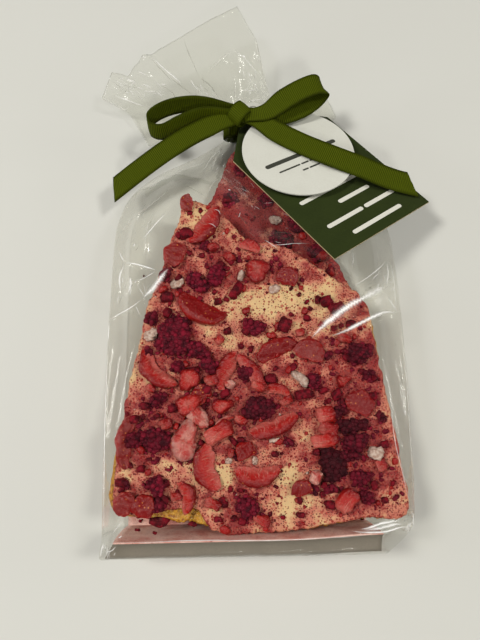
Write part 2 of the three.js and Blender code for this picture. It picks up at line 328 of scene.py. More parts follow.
def layered(add, base, layers):
    # colours laid over a base: (mask, its smooth range or None, strength, colour or what gives one)
    for mask, reach, strength, over in layers:
        if reach:
            mask = add("MapRange", {"Value": mask, "From Min": reach[0], "From Max": reach[1]},
                       interpolation_type="SMOOTHSTEP")
        share = add("Math", {0: mask, 1: strength}, operation="MULTIPLY")
        over = colour(over) if isinstance(over, str) else over
        base = add("Mix", {"Factor": share, 6: base, 7: over}, data_type="RGBA")[2]
    return base


def opaque(add, base, skin, height=None, strength=0.0, depth=0.0):
    # the finished surface, with a bump whose depth is its real height
    inputs = {"Base Color": base, **skin}
    if height is not None:
        inputs["Normal"] = add("Bump", {"Height": height, "Strength": strength, "Distance": depth / 1000})
    add("OutputMaterial", {"Surface": add("BsdfPrincipled", inputs)})


# Materials
def polypropyleneFilm():
    # clear film of stretched polypropylene: thin, stiff and glassy, so light glints along every crease and
    # the flat parts stay clear
    look = {"haze": 0.25, "straight": 0.006, "glancing": 0.62, "falloff": 2.4}
    material, add, _, (crumple,) = newMaterial("polypropylene_film", [(9.0, 2.0, 0.55)])
    normal = add("Bump", {"Height": crumple, "Strength": 0.5, "Distance": 0.25 / 1000})
    gloss = add("BsdfPrincipled", {
        "Base Color": colour("#f7f7f4"), "Metallic": 1 - look["haze"], "Roughness": 0.07, "Normal": normal})
    clear = add("BsdfTransparent", {"Color": colour("#fbfbf9")})
    facing = add("LayerWeight", {"Blend": 0.5, "Normal": normal})["Facing"]
    edgeOn = add("Math", {0: facing, 1: look["falloff"]}, operation="POWER")
    share = add("MapRange", {"Value": edgeOn, "To Min": look["straight"], "To Max": look["glancing"]})
    add("OutputMaterial", {"Surface": add("MixShader", {0: share, 1: clear, 2: gloss})})
    return material


def paintedGlintFilm():
    # the same film along its folds with painted light: above nought each fold is painted as a soft white
    # glint line, below nought as a faint grey line of painted shade where the fold turns from the light
    material, add, _, (patch,) = newMaterial("fold_film_painted_glints", [(4.0, 3.0, 0.55)])
    milk = add("Attribute", attribute_name="milk")["Fac"]
    # painted highlight and painted shade: white along glinting folds, grey along folds turned from the light
    base = layered(add, colour("#7d786d"), [(milk, (-0.02, 0.02), 1, "#fbfaf8")])
    gloss = add("BsdfPrincipled", {"Base Color": base, "Roughness": 0.3})
    clear = add("BsdfTransparent", {"Color": colour("#fdfdfc")})
    facing = add("LayerWeight", {"Blend": 0.3})["Facing"]
    uneven = add("Math", {0: patch, 1: 1.1, 2: 0.45}, operation="MULTIPLY_ADD")
    paintedLineStrength = add("Math", {0: milk}, operation="ABSOLUTE")
    strength = add("Math", {0: paintedLineStrength, 1: uneven}, operation="MULTIPLY")
    whole = add("Math", {0: facing, 1: 0.02, 2: strength}, operation="MULTIPLY_ADD")
    share = add("Math", {0: whole, 1: 0.95}, operation="MINIMUM")
    add("OutputMaterial", {"Surface": add("MixShader", {0: share, 1: clear, 2: gloss})})
    return material


def grosgrain():
    # woven polyester ribbon with cross ribs; its colour paints a sheen on each rib and a dark line of shade
    # between ribs, a painted highlight and painted shade
    material, add, _, (thread, patch) = newMaterial("grosgrain", [(0.7, 2.0, 0.55), (14, 3.0, 0.55)])
    rib = add("Attribute", attribute_name="rib")["Fac"]
    # the rib height paints the ridges lighter and the valleys darker: painted highlight and painted shade
    base = layered(add, colour("#181d00"), [
        (rib, (0.2, 0.75), 1, "#4b5504"), (patch, (0.35, 0.7), 0.5, "#384102"),
        (thread, None, 0.3, "#5d6809")])
    opaque(add, base, {"Roughness": 0.75, "Specular IOR Level": 0.06}, thread, 0.5, 0.1)
    return material


def uncoatedCard(name, code, fleck):
    # uncoated card: flat matt colour with the faint mottle of paper fibres
    material, add, _, (fibre, mottle) = newMaterial(name, [(0.8, 4.0, 0.55), (11, 3.0, 0.55)])
    base = layered(add, colour(code), [(fibre, (0.4, 0.75), 0.5, fleck), (mottle, (0.35, 0.7), 0.35, fleck)])
    opaque(add, base, {"Roughness": 0.8, "Specular IOR Level": 0.12}, fibre, 0.35, 0.08)
    return material


def drySurface(name, code, roughness, patterns, layers):
    # a flat dry surface; each pattern lays its colour over the base: (range or None, strength, colour)
    material, add, _, noises = newMaterial(name, patterns)
    base = layered(add, colour(code), [(noise, *laid) for noise, laid in zip(noises, layers)])
    opaque(add, base, {"Roughness": roughness})
    return material


def specks(add, place, size, share, radius):
    # round dots, one at most in each cell: share is how many cells hold one, radius its part of the cell
    cell = add("TexVoronoi", {"Vector": place, "Scale": 1000 / size})
    pick = add("SeparateColor", {0: cell["Color"]})
    grown = add("Math", {0: pick[1], 1: 0.35}, operation="ADD")
    reach = add("Math", {0: grown, 1: radius}, operation="MULTIPLY")
    dot = add("Math", {0: cell["Distance"], 1: reach}, operation="LESS_THAN")
    held = add("Math", {0: pick[0], 1: share}, operation="LESS_THAN")
    return add("Math", {0: dot, 1: held}, operation="MULTIPLY")


def whiteChocolate():
    # poured white chocolate: satin cream, stained and freckled by the red berry powder lying on it
    dots = [(1.8, 0.36, 0.75, "#ac3a30"), (1.25, 0.38, 0.85, "#8e1a1a"), (0.9, 0.34, 0.85, "#520a10")]
    material, add, place, (patch, fine) = newMaterial("white_chocolate", [(5, 5.0, 0.7), (1.0, 3.0, 0.6)])
    powder = add("Math", {0: add("Attribute", attribute_name="powder")["Fac"], 1: 0.7}, operation="MULTIPLY")
    cover = add("Math", {0: patch, 1: 0.6, 2: powder}, operation="MULTIPLY_ADD")
    blush = add("Math", {0: fine, 1: 0.5, 2: cover}, operation="MULTIPLY_ADD")
    thick = add("Math", {0: fine, 1: 0.3, 2: cover}, operation="MULTIPLY_ADD")
    crust = add("MapRange", {"Value": thick, "From Min": 0.95, "From Max": 1.2},
                interpolation_type="SMOOTHSTEP")
    share = add("Math", {0: cover, 1: 0.65, 2: 0.15}, operation="MULTIPLY_ADD")
    layers = [(blush, (0.6, 1.1), 1, "#c77461"), (crust, None, 0.9, "#8c2027")]
    layers += [(specks(add, place, size, share, radius), None, strength, code)
               for size, radius, strength, code in dots]
    base = layered(add, colour("#debb8a"), layers)
    height = add("Math", {0: crust, 1: 0.8, 2: fine}, operation="MULTIPLY_ADD")
    opaque(add, base, {"Roughness": 0.55, "Specular IOR Level": 0.25, "Subsurface Weight": 0.08,
                       "Subsurface Scale": 0.003}, height, 0.6, 0.35)
    return material


def honeycombToffee():
    # brittle aerated sugar: glassy amber walls between open bubbles, golden where it is thin
    material, add, place, (tint,) = newMaterial("honeycomb_toffee", [(7, 3.0, 0.55)])
    bubble, pore = (add("TexVoronoi", {"Vector": place, "Scale": 1000 / size}) for size in (1.6, 0.7))
    # pit is how deep a point lies in a side pit; its darker amber there is painted shade in the hollows
    pit = add("Attribute", attribute_name="pit")["Fac"]
    base = layered(add, colour("#8e520c"), [
        (bubble, (0.15, 0.7), 1, "#c48d20"), (tint, (0.4, 0.7), 1, "#d0a034"), (pit, None, 0.7, "#8c4f0a")])
    height = add("Math", {0: pore, 1: 0.5, 2: bubble}, operation="MULTIPLY_ADD")
    opaque(add, base, {"Roughness": 0.35, "Subsurface Weight": 0.15, "Subsurface Scale": 0.002},
           height, 0.9, 0.6)
    return material


def driedStrawberry():
    # freeze-dried strawberry: dull red skin with pale seeds, paler streaked flesh towards a white core
    patterns = [(1.3, 4.0, 0.55), (5.0, 3.0, 0.55)]
    material, add, place, (grain, patch) = newMaterial("dried_strawberry", patterns)
    section = add("UVMap", uv_map="section")["UV"]
    outward = add("SeparateXYZ", {0: section})["Y"]
    tone = add("Attribute", attribute_name="tone")["Fac"]
    stretched = add("Mapping", {"Vector": section, "Scale": (26.0, 1.6, 1.0)})
    streak = add("TexNoise", {"Vector": stretched, "Scale": 1.0, "Detail": 3.0})
    spot = add("TexVoronoi", {"Vector": place, "Scale": 1000 / 2.4})
    ranges = ((streak, 0.52, 0.66), (outward, 0.8, 0.55), (spot, 0.2, 0.12), (outward, 0.85, 0.97))
    streaks, inside, seeds, onSkin = (
        add("MapRange", {"Value": value, "From Min": low, "From Max": high}, interpolation_type="SMOOTHSTEP")
        for value, low, high in ranges)
    inFlesh = add("Math", {0: streaks, 1: inside}, operation="MULTIPLY")
    skinSeeds = add("Math", {0: seeds, 1: onSkin}, operation="MULTIPLY")
    core = add("Math", {0: patch, 1: 0.5, 2: outward}, operation="MULTIPLY_ADD")
    mottled = layered(add, colour("#e6bcae"), [(patch, (0.42, 0.62), 1, "#b4423c")])
    base = layered(add, colour("#b41610"), [
        (outward, (0.5, 0.98), 1, "#7f0508"), (inFlesh, None, 0.75, "#d77a6c"),
        (core, (0.75, 0.35), 0.34, "#d98d80"), (tone, None, 0.8, "#6f0d17"),
        (tone, (0.0, -1.0), 1, mottled), (grain, (0.56, 0.72), 0.35, "#cf6e60"),
        (skinSeeds, None, 0.8, "#d9823f")])
    height = add("Math", {0: inFlesh, 1: 0.5, 2: grain}, operation="MULTIPLY_ADD")
    opaque(add, base, {"Roughness": 0.36, "Specular IOR Level": 0.35, "Subsurface Weight": 0.12,
                       "Subsurface Scale": 0.002}, height, 0.9, 0.5)
    return material


def driedFruit(name, deep, bright, dusty, patchSize=3.0, tinted=False):
    # freeze-dried dark fruit: matt, dusted paler in fine uneven patches; tinted parts carry a tint and a
    # shade
    material, add, _, (patch, grain) = newMaterial(name, [(patchSize, 3.0, 0.55), (0.7, 3.0, 0.55)])
    tone = add("MapRange", {"Value": patch, "From Min": 0.35, "From Max": 0.68},
               interpolation_type="SMOOTHSTEP")
    if tinted:
        own = add("Attribute", attribute_name="tint")["Fac"]
        tone = add("Math", {0: add("Math", {0: tone, 1: own}, operation="ADD"), 1: 0.5}, operation="MULTIPLY")
    layers = [(tone, None, 1, bright), (grain, (0.55, 0.75), 0.5, dusty)]
    if tinted:
        layers.append((add("Attribute", attribute_name="shade")["Fac"], None, 0.85, "#2b0a10"))
    base = layered(add, colour(deep), layers)
    opaque(add, base, {"Roughness": 0.6, "Specular IOR Level": 0.1}, grain, 0.8, 0.3)
    return material


film = polypropyleneFilm()
foldGlintFilm = paintedGlintFilm()
ribbonWeave = grosgrain()
greenCard = uncoatedCard("green_card_stock", "#2a3314", "#333d18")
whiteCard = uncoatedCard("white_card_stock", "#d6d6cc", "#cccbc0")
cardCore = uncoatedCard("card_core", "#b7a67f", "#a3926c")
# the base card's turned-down flap: its grey is painted shade standing in for the shade on the board's front
# edge
flapShadeBoard = uncoatedCard("flap_board_painted_shade", "#877f74", "#7a7368")
# white-faced board with red berry powder lying on it
pinkBoard = drySurface("dusted_board", "#efc9bd", 0.75, [(9, 3.0, 0.55), (0.8, 2.0, 0.55)],
                       [((0.3, 0.75), 1, "#cf8579"), ((0.6, 0.68), 0.6, "#8e3a3c")])
tableTop = drySurface("table_top", "#d3d3cd", 0.7, [(300, 3.0, 0.55)], [(None, 1, "#cdcdc6")])
# printed ink, slightly glossier than the card under it
whiteInk, darkInk = (drySurface(name, code, 0.6, [(0.9, 2.0, 0.55)], [(None, 0.15, "#8b8a80")])
                     for name, code in (("white_ink", "#e4e2d6"), ("dark_ink", "#2a2c22")))
chocolate = whiteChocolate()
honeycomb = honeycombToffee()
strawberry = driedStrawberry()
raspberry = driedFruit("dried_raspberry", "#3d0313", "#951531", "#bb4f62", tinted=True)
darkDice = driedFruit("dried_fruit_dice", "#40020c", "#820d20", "#a93d4c")
berryDust = driedFruit("berry_powder", "#5e070d", "#991a1e", "#b23a36", 2.0)
sugarWhite = driedFruit("sugar_pieces", "#b08d7f", "#d8c3b6", "#b0686a", 1.5)
print("materials made")


# The bag's film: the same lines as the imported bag, with creases, wrinkles and gathers
bagLines = {
    "left": [(-9, -76), (0, -75), (60, -77), (145, -77.5), (166, -77), (185, -71), (198, -59), (211, -39),
             (220, -26), (228, -17.5), (242, -17.5)],
    "right": [(-9, 63), (0, 73), (8, 76), (60, 77), (110, 76.5), (145, 75), (165, 73), (185, 63), (200, 48),
              (212, 32), (220, 16), (228, 0.5), (242, 0.5)],
    "fold": [(-11.2, 34.4), (-9, 39.8), (0, 40), (67, 37), (110, 33), (145, 28), (175, 18), (190, 13.5),
             (205, 11), (228, 8.5), (242, 8.5)],
    "crown": [(-11.2, 34.4), (-9, 39.8), (0, 40), (15, 41.5), (60, 42), (140, 42), (160, 38), (175, 32.5),
              (190, 27), (205, 21.5), (218, 16), (228, 12.5), (237, 12.5), (242, 10.5)],
    "back": [(0, 0), (196, 0), (208, 1), (218, 2.6), (228, 4.5), (242, 4.5)],
}
edgeOf = {key: alongKeys(keys) for key, keys in bagLines.items()}
neck = {"x": -8.5, "z": 8.5, "start": 228.0, "end": 242.0}
gatherStart = 175
baseSlant = 3

# Outline of the front slab's chocolate, from its peak clockwise
frontOutline = [
    (-40, 177), (-27, 174), (-19, 170), (-13, 163), (-7, 155), (-3, 151), (10, 151), (19, 147), (27, 142),
    (37, 135), (48, 127), (54, 124), (60, 116), (61, 105), (63, 92), (66, 74), (69, 56), (72, 39), (75, 22),
    (75.2, 11), (73.5, 9.3), (69, 8), (63, 8.4), (57, 9), (50, 7.9), (45, 7), (21, 3), (1, 1.1), (-16, 1),
    (-22, 2.6), (-26, 8), (-28, 12), (-33, 14), (-40, 13), (-53, 10), (-66, 10), (-71, 14), (-71.5, 24),
    (-69, 51), (-65, 81), (-61, 97), (-57, 119), (-51, 135), (-45, 155), (-41, 167),
]
rearOutline = [
    (-8, 221), (-1, 217), (12, 200), (24, 182), (40, 158), (47, 147), (56, 129), (60, 106), (60, 60),
    (52, 22), (0, 12), (-55, 14), (-62, 45), (-56, 100), (-45, 140), (-36, 165), (-25, 186), (-19, 201),
    (-13, 217),
]

# Folds of the film: [points], half-width, and the strength of its painted white glint line; below nought it
# is a faint grey line of painted shade
bodyFolds = [
    ([(-48, 167), (-55, 159), (-59, 154), (-62, 151)], 0.45, 1.0),
    ([(-54, 171.5), (-58, 162), (-60, 142), (-61, 138)], 0.25, 0.4), ([(-66, 148), (-65, 150)], 0.6, 0.9),
    ([(-74, 146), (-72, 142), (-70, 139)], 0.4, 0.7), ([(-70, 139), (-61, 137), (-52, 133)], 0.6, 1.1),
    ([(-52, 133), (-58, 130), (-64, 128)], 0.4, 0.6),
    ([(-70, 138), (-72, 132), (-72, 127), (-71, 122)], 0.9, 0.8),
    ([(-67, 131), (-66, 127), (-67, 121)], 1.1, 0.9), ([(-62, 125), (-60, 122), (-58, 119)], 0.3, 0.6),
    ([(-60, 128), (-58, 123), (-57, 117)], 0.25, 0.4),
    ([(-46, 134), (-51, 126), (-55, 121), (-59, 118)], 2.3, 1.1),
    ([(-59, 118), (-65, 114), (-77, 107)], 0.5, 0.8), ([(-77, 107), (-77, 105), (-77, 95)], 0.5, 1.0),
    ([(-63, 115), (-60, 109)], 0.3, 0.55), ([(-76, 147), (-77, 126), (-77, 103)], 0.25, 0.3),
    ([(-57, 186), (-67, 187), (-69, 179)], 0.25, -0.35),
    ([(-40, 186.5), (-54, 176), (-67, 168), (-75, 154), (-76, 148)], 0.4, 0.22),
    ([(-39, 183), (-26.4, 174.7)], 0.3, -0.35), ([(-26.4, 174.7), (-23.6, 185), (-20.8, 192)], 0.25, 0.3),
    ([(-15.2, 181), (-13.6, 181)], 0.8, 1.0), ([(-9, 185.6), (-3, 183.8)], 0.5, 0.4),
    ([(-23, 168), (-20, 167), (-19, 164.5)], 0.3, 0.6), ([(-26, 160), (-23, 159), (-21, 157)], 0.3, 0.55),
    ([(-12, 167), (-8, 163.5), (-4, 159)], 0.3, -0.6), ([(-5, 157), (0, 152)], 0.3, -0.4),
    ([(5, 154), (15, 156), (25, 154)], 0.3, -0.4),
    ([(28, 97), (33, 102), (39, 107), (47, 113), (54, 117), (61, 121)], 3.0, 1.2),
    ([(38, 98), (44, 100), (52, 104), (60, 108), (67, 111), (74, 111)], 1.5, 1.1),
    ([(50, 124), (56, 128), (65, 135), (71, 141)], 0.35, 0.7), ([(52, 147), (52, 140), (51, 136)], 0.3, 0.6),
    ([(70, 140), (70, 132), (68, 124)], 0.5, 0.6), ([(69, 120), (71, 116), (74, 111)], 0.4, 0.6),
    ([(72, 141), (73, 129), (73, 117), (74, 111)], 0.3, 0.5), ([(54, 117), (61, 121), (67, 125)], 3.6, 0.7),
    ([(7, 147), (18, 148), (30, 150)], 0.3, 0.7), ([(4, 151), (8, 148), (12, 145)], 0.3, 0.6),
    ([(74, 111), (75, 101), (76, 94), (77, 75), (77, 58), (77, 33), (76, 10)], 0.3, 0.4),
    ([(67, 63), (68, 46), (71, 30), (74, 13)], 0.3, 0.5), ([(49, 4), (54, 5), (60, 7), (68, 8)], 0.9, 1.1),
    ([(45, 3), (61, 3), (69, 5), (74, 5)], 0.7, 1.1),
    ([(50, 3.6), (58, 4.6), (66, 6.4), (71, 6.6)], 1.2, 0.8), ([(74, 13), (76, 8), (74, 5)], 0.4, 0.7),
    ([(-75, -2), (-59, -2), (-25, -1), (6, -1), (30, 0), (49, 1), (61, 3)], 0.35, 0.65),
    ([(-77, 99), (-77, 81), (-77, 46), (-76, 22), (-75, -2)], 0.35, 0.9),
    ([(-75, -2), (-76, -9)], 0.35, 0.8), ([(-65, 8), (-70, 2)], 0.3, 0.5), ([(-67, 0), (-65, 1)], 0.3, 0.8),
    ([(-19, 220), (-26, 210), (-29, 201), (-31, 194)], 0.3, 0.35),
    ([(-20, 218), (-24, 206), (-25, 196)], 0.25, 0.35), ([(-17, 217), (-20, 207)], 0.3, -0.35),
    ([(-48, 191.4), (-37.6, 200), (-28, 208)], 0.6, 0.4),
]
# Short folds scattered by seed: (x, y, reach across, reach along, count, heading)
bodyCrinkles = [
    (-66, 122, 6, 12, 16, 80), (-60, 162, 10, 16, 12, 55), (66, 128, 6, 9, 14, 50), (73, 62, 3, 40, 10, 88),
    (-76, 50, 1.5, 42, 8, 90), (-72, -5, 4, 4, 16, 60), (73, 5, 2, 3, 10, 50), (-22, 208, 6, 10, 18, 70),
    (0, 178, 14, 16, 16, 130), (20, 152, 12, 5, 6, 0),
]


def creaseHeight(xy, lines):
    # how high the creases raise the film at each point
    height = np.zeros(len(xy))
    for line, half, milk in lines:
        far, along = distanceToLine(xy, line)
        taper = np.clip(np.minimum(along, 1 - along) / 0.18, 0, 1) ** 0.6
        tall = (0.4 + half) * min(1, 1.2 * abs(milk))
        height = np.maximum(height, tall * np.clip(1 - far / (1 + 1.4 * half), 0, 1) * taper)
    return height


def makeFolds(name, piece, lines, crinkles, seed):
    # narrow ridges along the lines, then short ones at seeded places, all on the piece's upper side; each
    # carries a painted white glint line, and those below nought a painted grey shade line
    look = {"step": 0.6, "edgeGap": 0.9, "taper": 0.3, "over": 0.03, "foot": 0.1, "rise": 0.4}
    rng = np.random.default_rng(seed)
    lines = list(lines)
    for x, y, across, along, count, heading in crinkles:
        for _ in range(count):
            middle = np.array([x, y]) + rng.normal(size=2) * (across, along) * 0.6
            a = math.radians(heading + rng.normal() * 22)
            reach = np.array([math.cos(a), math.sin(a)]) * rng.uniform(0.6, 3.2)
            bend = rng.normal(size=2) * 0.4
            milk = rng.uniform(0.25, 0.9) if rng.uniform() < 0.7 else -rng.uniform(0.2, 0.45)
            lines.append(([middle - reach, middle + bend, middle + reach], rng.uniform(0.14, 0.34), milk))
    shape = bmesh.new()
    shape.from_mesh(piece.data)
    surface = BVHTree.FromBMesh(shape)
    shape.free()
    profile = [(w, 1) for w in (-1, -0.65, -0.33, 0, 0.33, 0.65, 1)] + [(0.6, 0), (-0.6, 0)]
    shapes, glintsAndShades = [], []
    for line, half, milk in lines:
        path, _ = splineThrough([(p[0], p[1], 0) for p in line], look["step"])
        along = path[:, 1]
        inside = np.clip(path[:, 0], edgeOf["left"](along) + look["edgeGap"],
                         edgeOf["right"](along) - look["edgeGap"])
        path[:, 0] = np.where(along < neck["start"], inside, path[:, 0])
        hits = [surface.ray_cast(Vector(inRow((p[0], p[1], 100))), Vector((0, 0, -1))) for p in path]
        hits = [hit for hit in hits if hit[0] and hit[1].z > 0.05]
        if len(hits) < 4:
            continue
        place = np.array([hit[0] for hit in hits]) * 1000 - toRow
        normal = np.array([hit[1] for hit in hits])
        side = np.cross(normal, np.gradient(place, axis=0))
        side /= np.maximum(np.linalg.norm(side, axis=1), 1e-6)[:, None]
        t = np.linspace(0, 1, len(place))
        taper = (np.clip(np.minimum(t, 1 - t) / look["taper"], 0.01, 1) ** 0.7)[:, None]
        rows = []
        for w, top in profile:
            lift = look["foot"] + look["rise"] * half * (1 - abs(w)) * taper
            rows.append(place + side * w * half * taper + normal * (look["over"] + top * lift))
        share = np.array([top * (1 - abs(w)) ** (0.9 + 0.5 * half) for w, top in profile])
        shapes.append((np.stack(rows, 1).reshape(-1, 3), gridFaces(len(place), len(profile), closed=True)))
        glintsAndShades.append((milk * taper * share).ravel())
    points, faces = joinShapes(shapes)
    folds = meshPiece(name, points, faces, [foldGlintFilm], {"milk": np.concatenate(glintsAndShades)})
    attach(folds, body)


def filmRing(y):
    # one ring of the film at y: a flat back, rounded sides and a bulging top, an oval at the neck
    count = {"back": 20, "side": 10, "top": 210}
    left, right = edgeOf["left"](y), edgeOf["right"](y)
    middle, half, fold = (left + right) / 2, (right - left) / 2, edgeOf["fold"](y)
    toNeck = smooth((y - gatherStart) / (neck["start"] - gatherStart))
    topPower, backPower = 5 - 3 * toNeck, 14 - 12 * toNeck ** 0.5
    reach = 0.93 - 0.13 * toNeck
    back = reach * np.linspace(-1, 1, count["back"] + 1)
    step = np.arange(1, count["side"] + 1) / (count["side"] + 1)
    side = 1 - (1 - reach) * (1 - step) ** 2
    angle = np.linspace(0, math.pi, count["top"] + 1)
    top = squared(np.cos(angle), 0.8)
    low = np.concatenate([back, side])
    lowLeft = -side[::-1]

    def backCurve(across):
        drop = np.minimum(1, 1.03 * (1 - np.abs(across) ** backPower) ** (1 / backPower))
        return fold - (fold - max(edgeOf["back"](y), 0)) * drop
    crown = fold + (edgeOf["crown"](y) - fold) * (1 - np.abs(top) ** topPower) ** (1 / topPower)
    across = np.concatenate([low, top, lowLeft])
    z = np.concatenate([backCurve(low), crown, backCurve(lowLeft)])
    isTop = np.concatenate([np.zeros(len(low)), 1 - np.abs(top) ** 6, np.zeros(len(lowLeft))])
    nearBase = max(0, 1 - max(y, 0) / 60)
    slant = baseSlant * nearBase
    ring = np.stack([middle + half * across, y + slant * (across + 1) / 2, z], 1)
    return ring, isTop, fold


def filmBody():
    look = {"rows": 0.9, "skirt": 11.2, "wave": 0.9, "waveSize": 38, "rumple": 0.35, "rumpleSize": 14,
            "gather": 1.2, "gathers": 24, "gatherY": 236, "dip": 3.0, "dipWidth": 8,
            "drape": 6.0, "drapeWidth": 50}
    tent = {"top": 41.0, "width": 34, "start": 138, "rise": 14, "right": -14, "fall": 22}
    rows = np.arange(-look["skirt"], neck["end"] + 0.01, look["rows"])
    rings = [filmRing(y) for y in rows]
    points = np.vstack([r[0] for r in rings])
    top = np.concatenate([r[1] for r in rings])
    floorOf = np.concatenate([np.full(len(r[0]), r[2]) for r in rings])
    xy = points[:, :2]
    off, _ = distanceOutside(xy, frontOutline)
    toNeck = smooth((xy[:, 1] - gatherStart) / (neck["start"] - gatherStart))
    # the film sinks beside the front slab, and further towards the neck, where it is loose and creased
    aboveBase, towardsNeck = smooth((xy[:, 1] - 2) / 12), smooth((xy[:, 1] - 90) / 60)
    sunk = look["dip"] * smooth(off / look["dipWidth"]) * aboveBase
    sunk = sunk + look["drape"] * smooth(off / look["drapeWidth"]) * towardsNeck
    loose = smooth(off / 12) * 0.85 + 0.15
    wave = look["wave"] * facets(points * (1, 0.7, 0), look["waveSize"], 11, 4) * loose
    rumple = look["rumple"] * facets(points, look["rumpleSize"], 12) * loose
    # gathers run out from the neck like a fan and fade towards the slab and into the tie
    reach = np.hypot(xy[:, 0] - neck["x"], xy[:, 1] - look["gatherY"])
    fan = np.arctan2(xy[:, 0] - neck["x"], look["gatherY"] - xy[:, 1])
    wobble = 0.5 * ripples(points * (1, 1, 0), 30, 13)
    pleat = np.abs(np.sin(look["gathers"] / 2 * fan + wobble)) ** 0.7 - 0.6
    fade = smooth((reach - 7) / 8) * np.exp(-((np.maximum(reach - 24, 0)) / 26) ** 2)
    lift = wave + rumple + look["gather"] * pleat * fade + creaseHeight(xy, bodyFolds) - sunk * (1 - toNeck)
    crown = np.maximum(points[:, 2] + top * lift, floorOf - look["dip"])
    # the front slab's peak holds the film up like a tent pole
    held = (1 - smooth(off / tent["width"])) * smooth((xy[:, 1] - tent["start"]) / tent["rise"])
    held = held * (1 - smooth((xy[:, 0] - tent["right"]) / tent["fall"]))
    crown = crown + top * held * np.maximum(tent["top"] - crown, 0)
    points[:, 2] = np.where(top > 0, crown, points[:, 2])
    faces = closedFaces(len(rows), len(rings[0][0]))
    points = np.vstack([points, rings[0][0].mean(0), rings[-1][0].mean(0)])
    piece = meshPiece("film_body", points, faces, [film])
    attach(piece, body)
    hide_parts("bag")
    return piece


# The loose mouth above the tie: the front film fans up and to the left, the back film spreads low
mouthEdge = [
    (38, 232, 2.4), (52.3, 246.4, 2.4), (47, 259.1, 2.4), (38, 262, 2.6), (16, 256, 4.2), (10.3, 257.3, 6),
    (6, 270, 16), (1.3, 284.8, 24), (-10.3, 305.5, 27.5), (-27.4, 295, 28.5), (-44.5, 284.5, 27),
    (-61.7, 273.7, 26), (-67, 271.6, 26.5), (-76.8, 261.5, 22), (-85.8, 262.8, 23), (-93.6, 252.6, 14),
    (-77.9, 246.5, 7), (-72, 237, 3.2), (-66.1, 227, 2.6), (-46, 228, 2.6),
]
mouthFolds = [
    ([(-43, 284), (-39, 274), (-33, 262)], 0.3, -0.45),
    ([(-62, 272), (-54, 265), (-47, 260), (-43, 256)], 0.5, 0.85),
    ([(-63, 271), (-56, 265), (-49, 258)], 0.3, -0.3), ([(-51, 261), (-45, 257), (-38, 253)], 0.4, -0.4),
    ([(-71, 264), (-64, 262)], 0.3, 0.7), ([(-67, 271), (-65, 270)], 0.4, 0.8),
    ([(-77, 260), (-75, 259), (-72, 259)], 0.7, 0.8), ([(-69, 256), (-66, 257), (-62, 256)], 0.4, 0.6),
    ([(-68, 254), (-63, 254), (-59, 254)], 0.4, 0.5), ([(-84, 260), (-81, 258), (-78, 256)], 0.35, 0.7),
    ([(-85, 259), (-80, 256)], 0.3, -0.4), ([(-86, 253), (-79, 251), (-73, 249), (-66, 248)], 0.5, 0.85),
    ([(-93, 253), (-85, 249), (-78, 247)], 0.4, 0.5),
    ([(-86, 263), (-80, 259), (-72, 255), (-66, 251)], 0.3, 0.4),
    ([(-13, 281), (-6, 275), (0, 269), (6, 265)], 0.35, 0.5), ([(-7, 276), (-5, 275)], 0.7, 0.95),
    ([(-8, 256), (-3, 257), (2, 258)], 0.5, 0.55), ([(-4, 251), (3, 254), (8, 256)], 0.4, 0.8),
    ([(-3, 292), (1, 285), (4, 274), (7, 262)], 0.3, -0.35), ([(0, 285), (4, 274), (9, 260)], 0.3, 0.5),
    ([(-29, 265), (-18, 275), (-11, 280)], 0.6, 0.2), ([(-33, 262), (-27, 258), (-22, 252)], 0.6, -0.45),
    ([(-39, 259), (-33, 254), (-28, 250)], 0.5, 0.4), ([(-57, 257), (-52, 255), (-48, 252)], 0.3, -0.3),
    ([(-29, 258), (-24, 254), (-20, 250)], 0.3, 0.3), ([(-11, 261), (-12, 252)], 0.3, 0.3),
]
mouthCrinkles = [
    (-77, 256, 8, 5, 26, -20), (-58, 254, 10, 5, 14, -25), (-35, 256, 12, 5, 12, -45),
    (-2, 264, 6, 10, 12, 110),
]


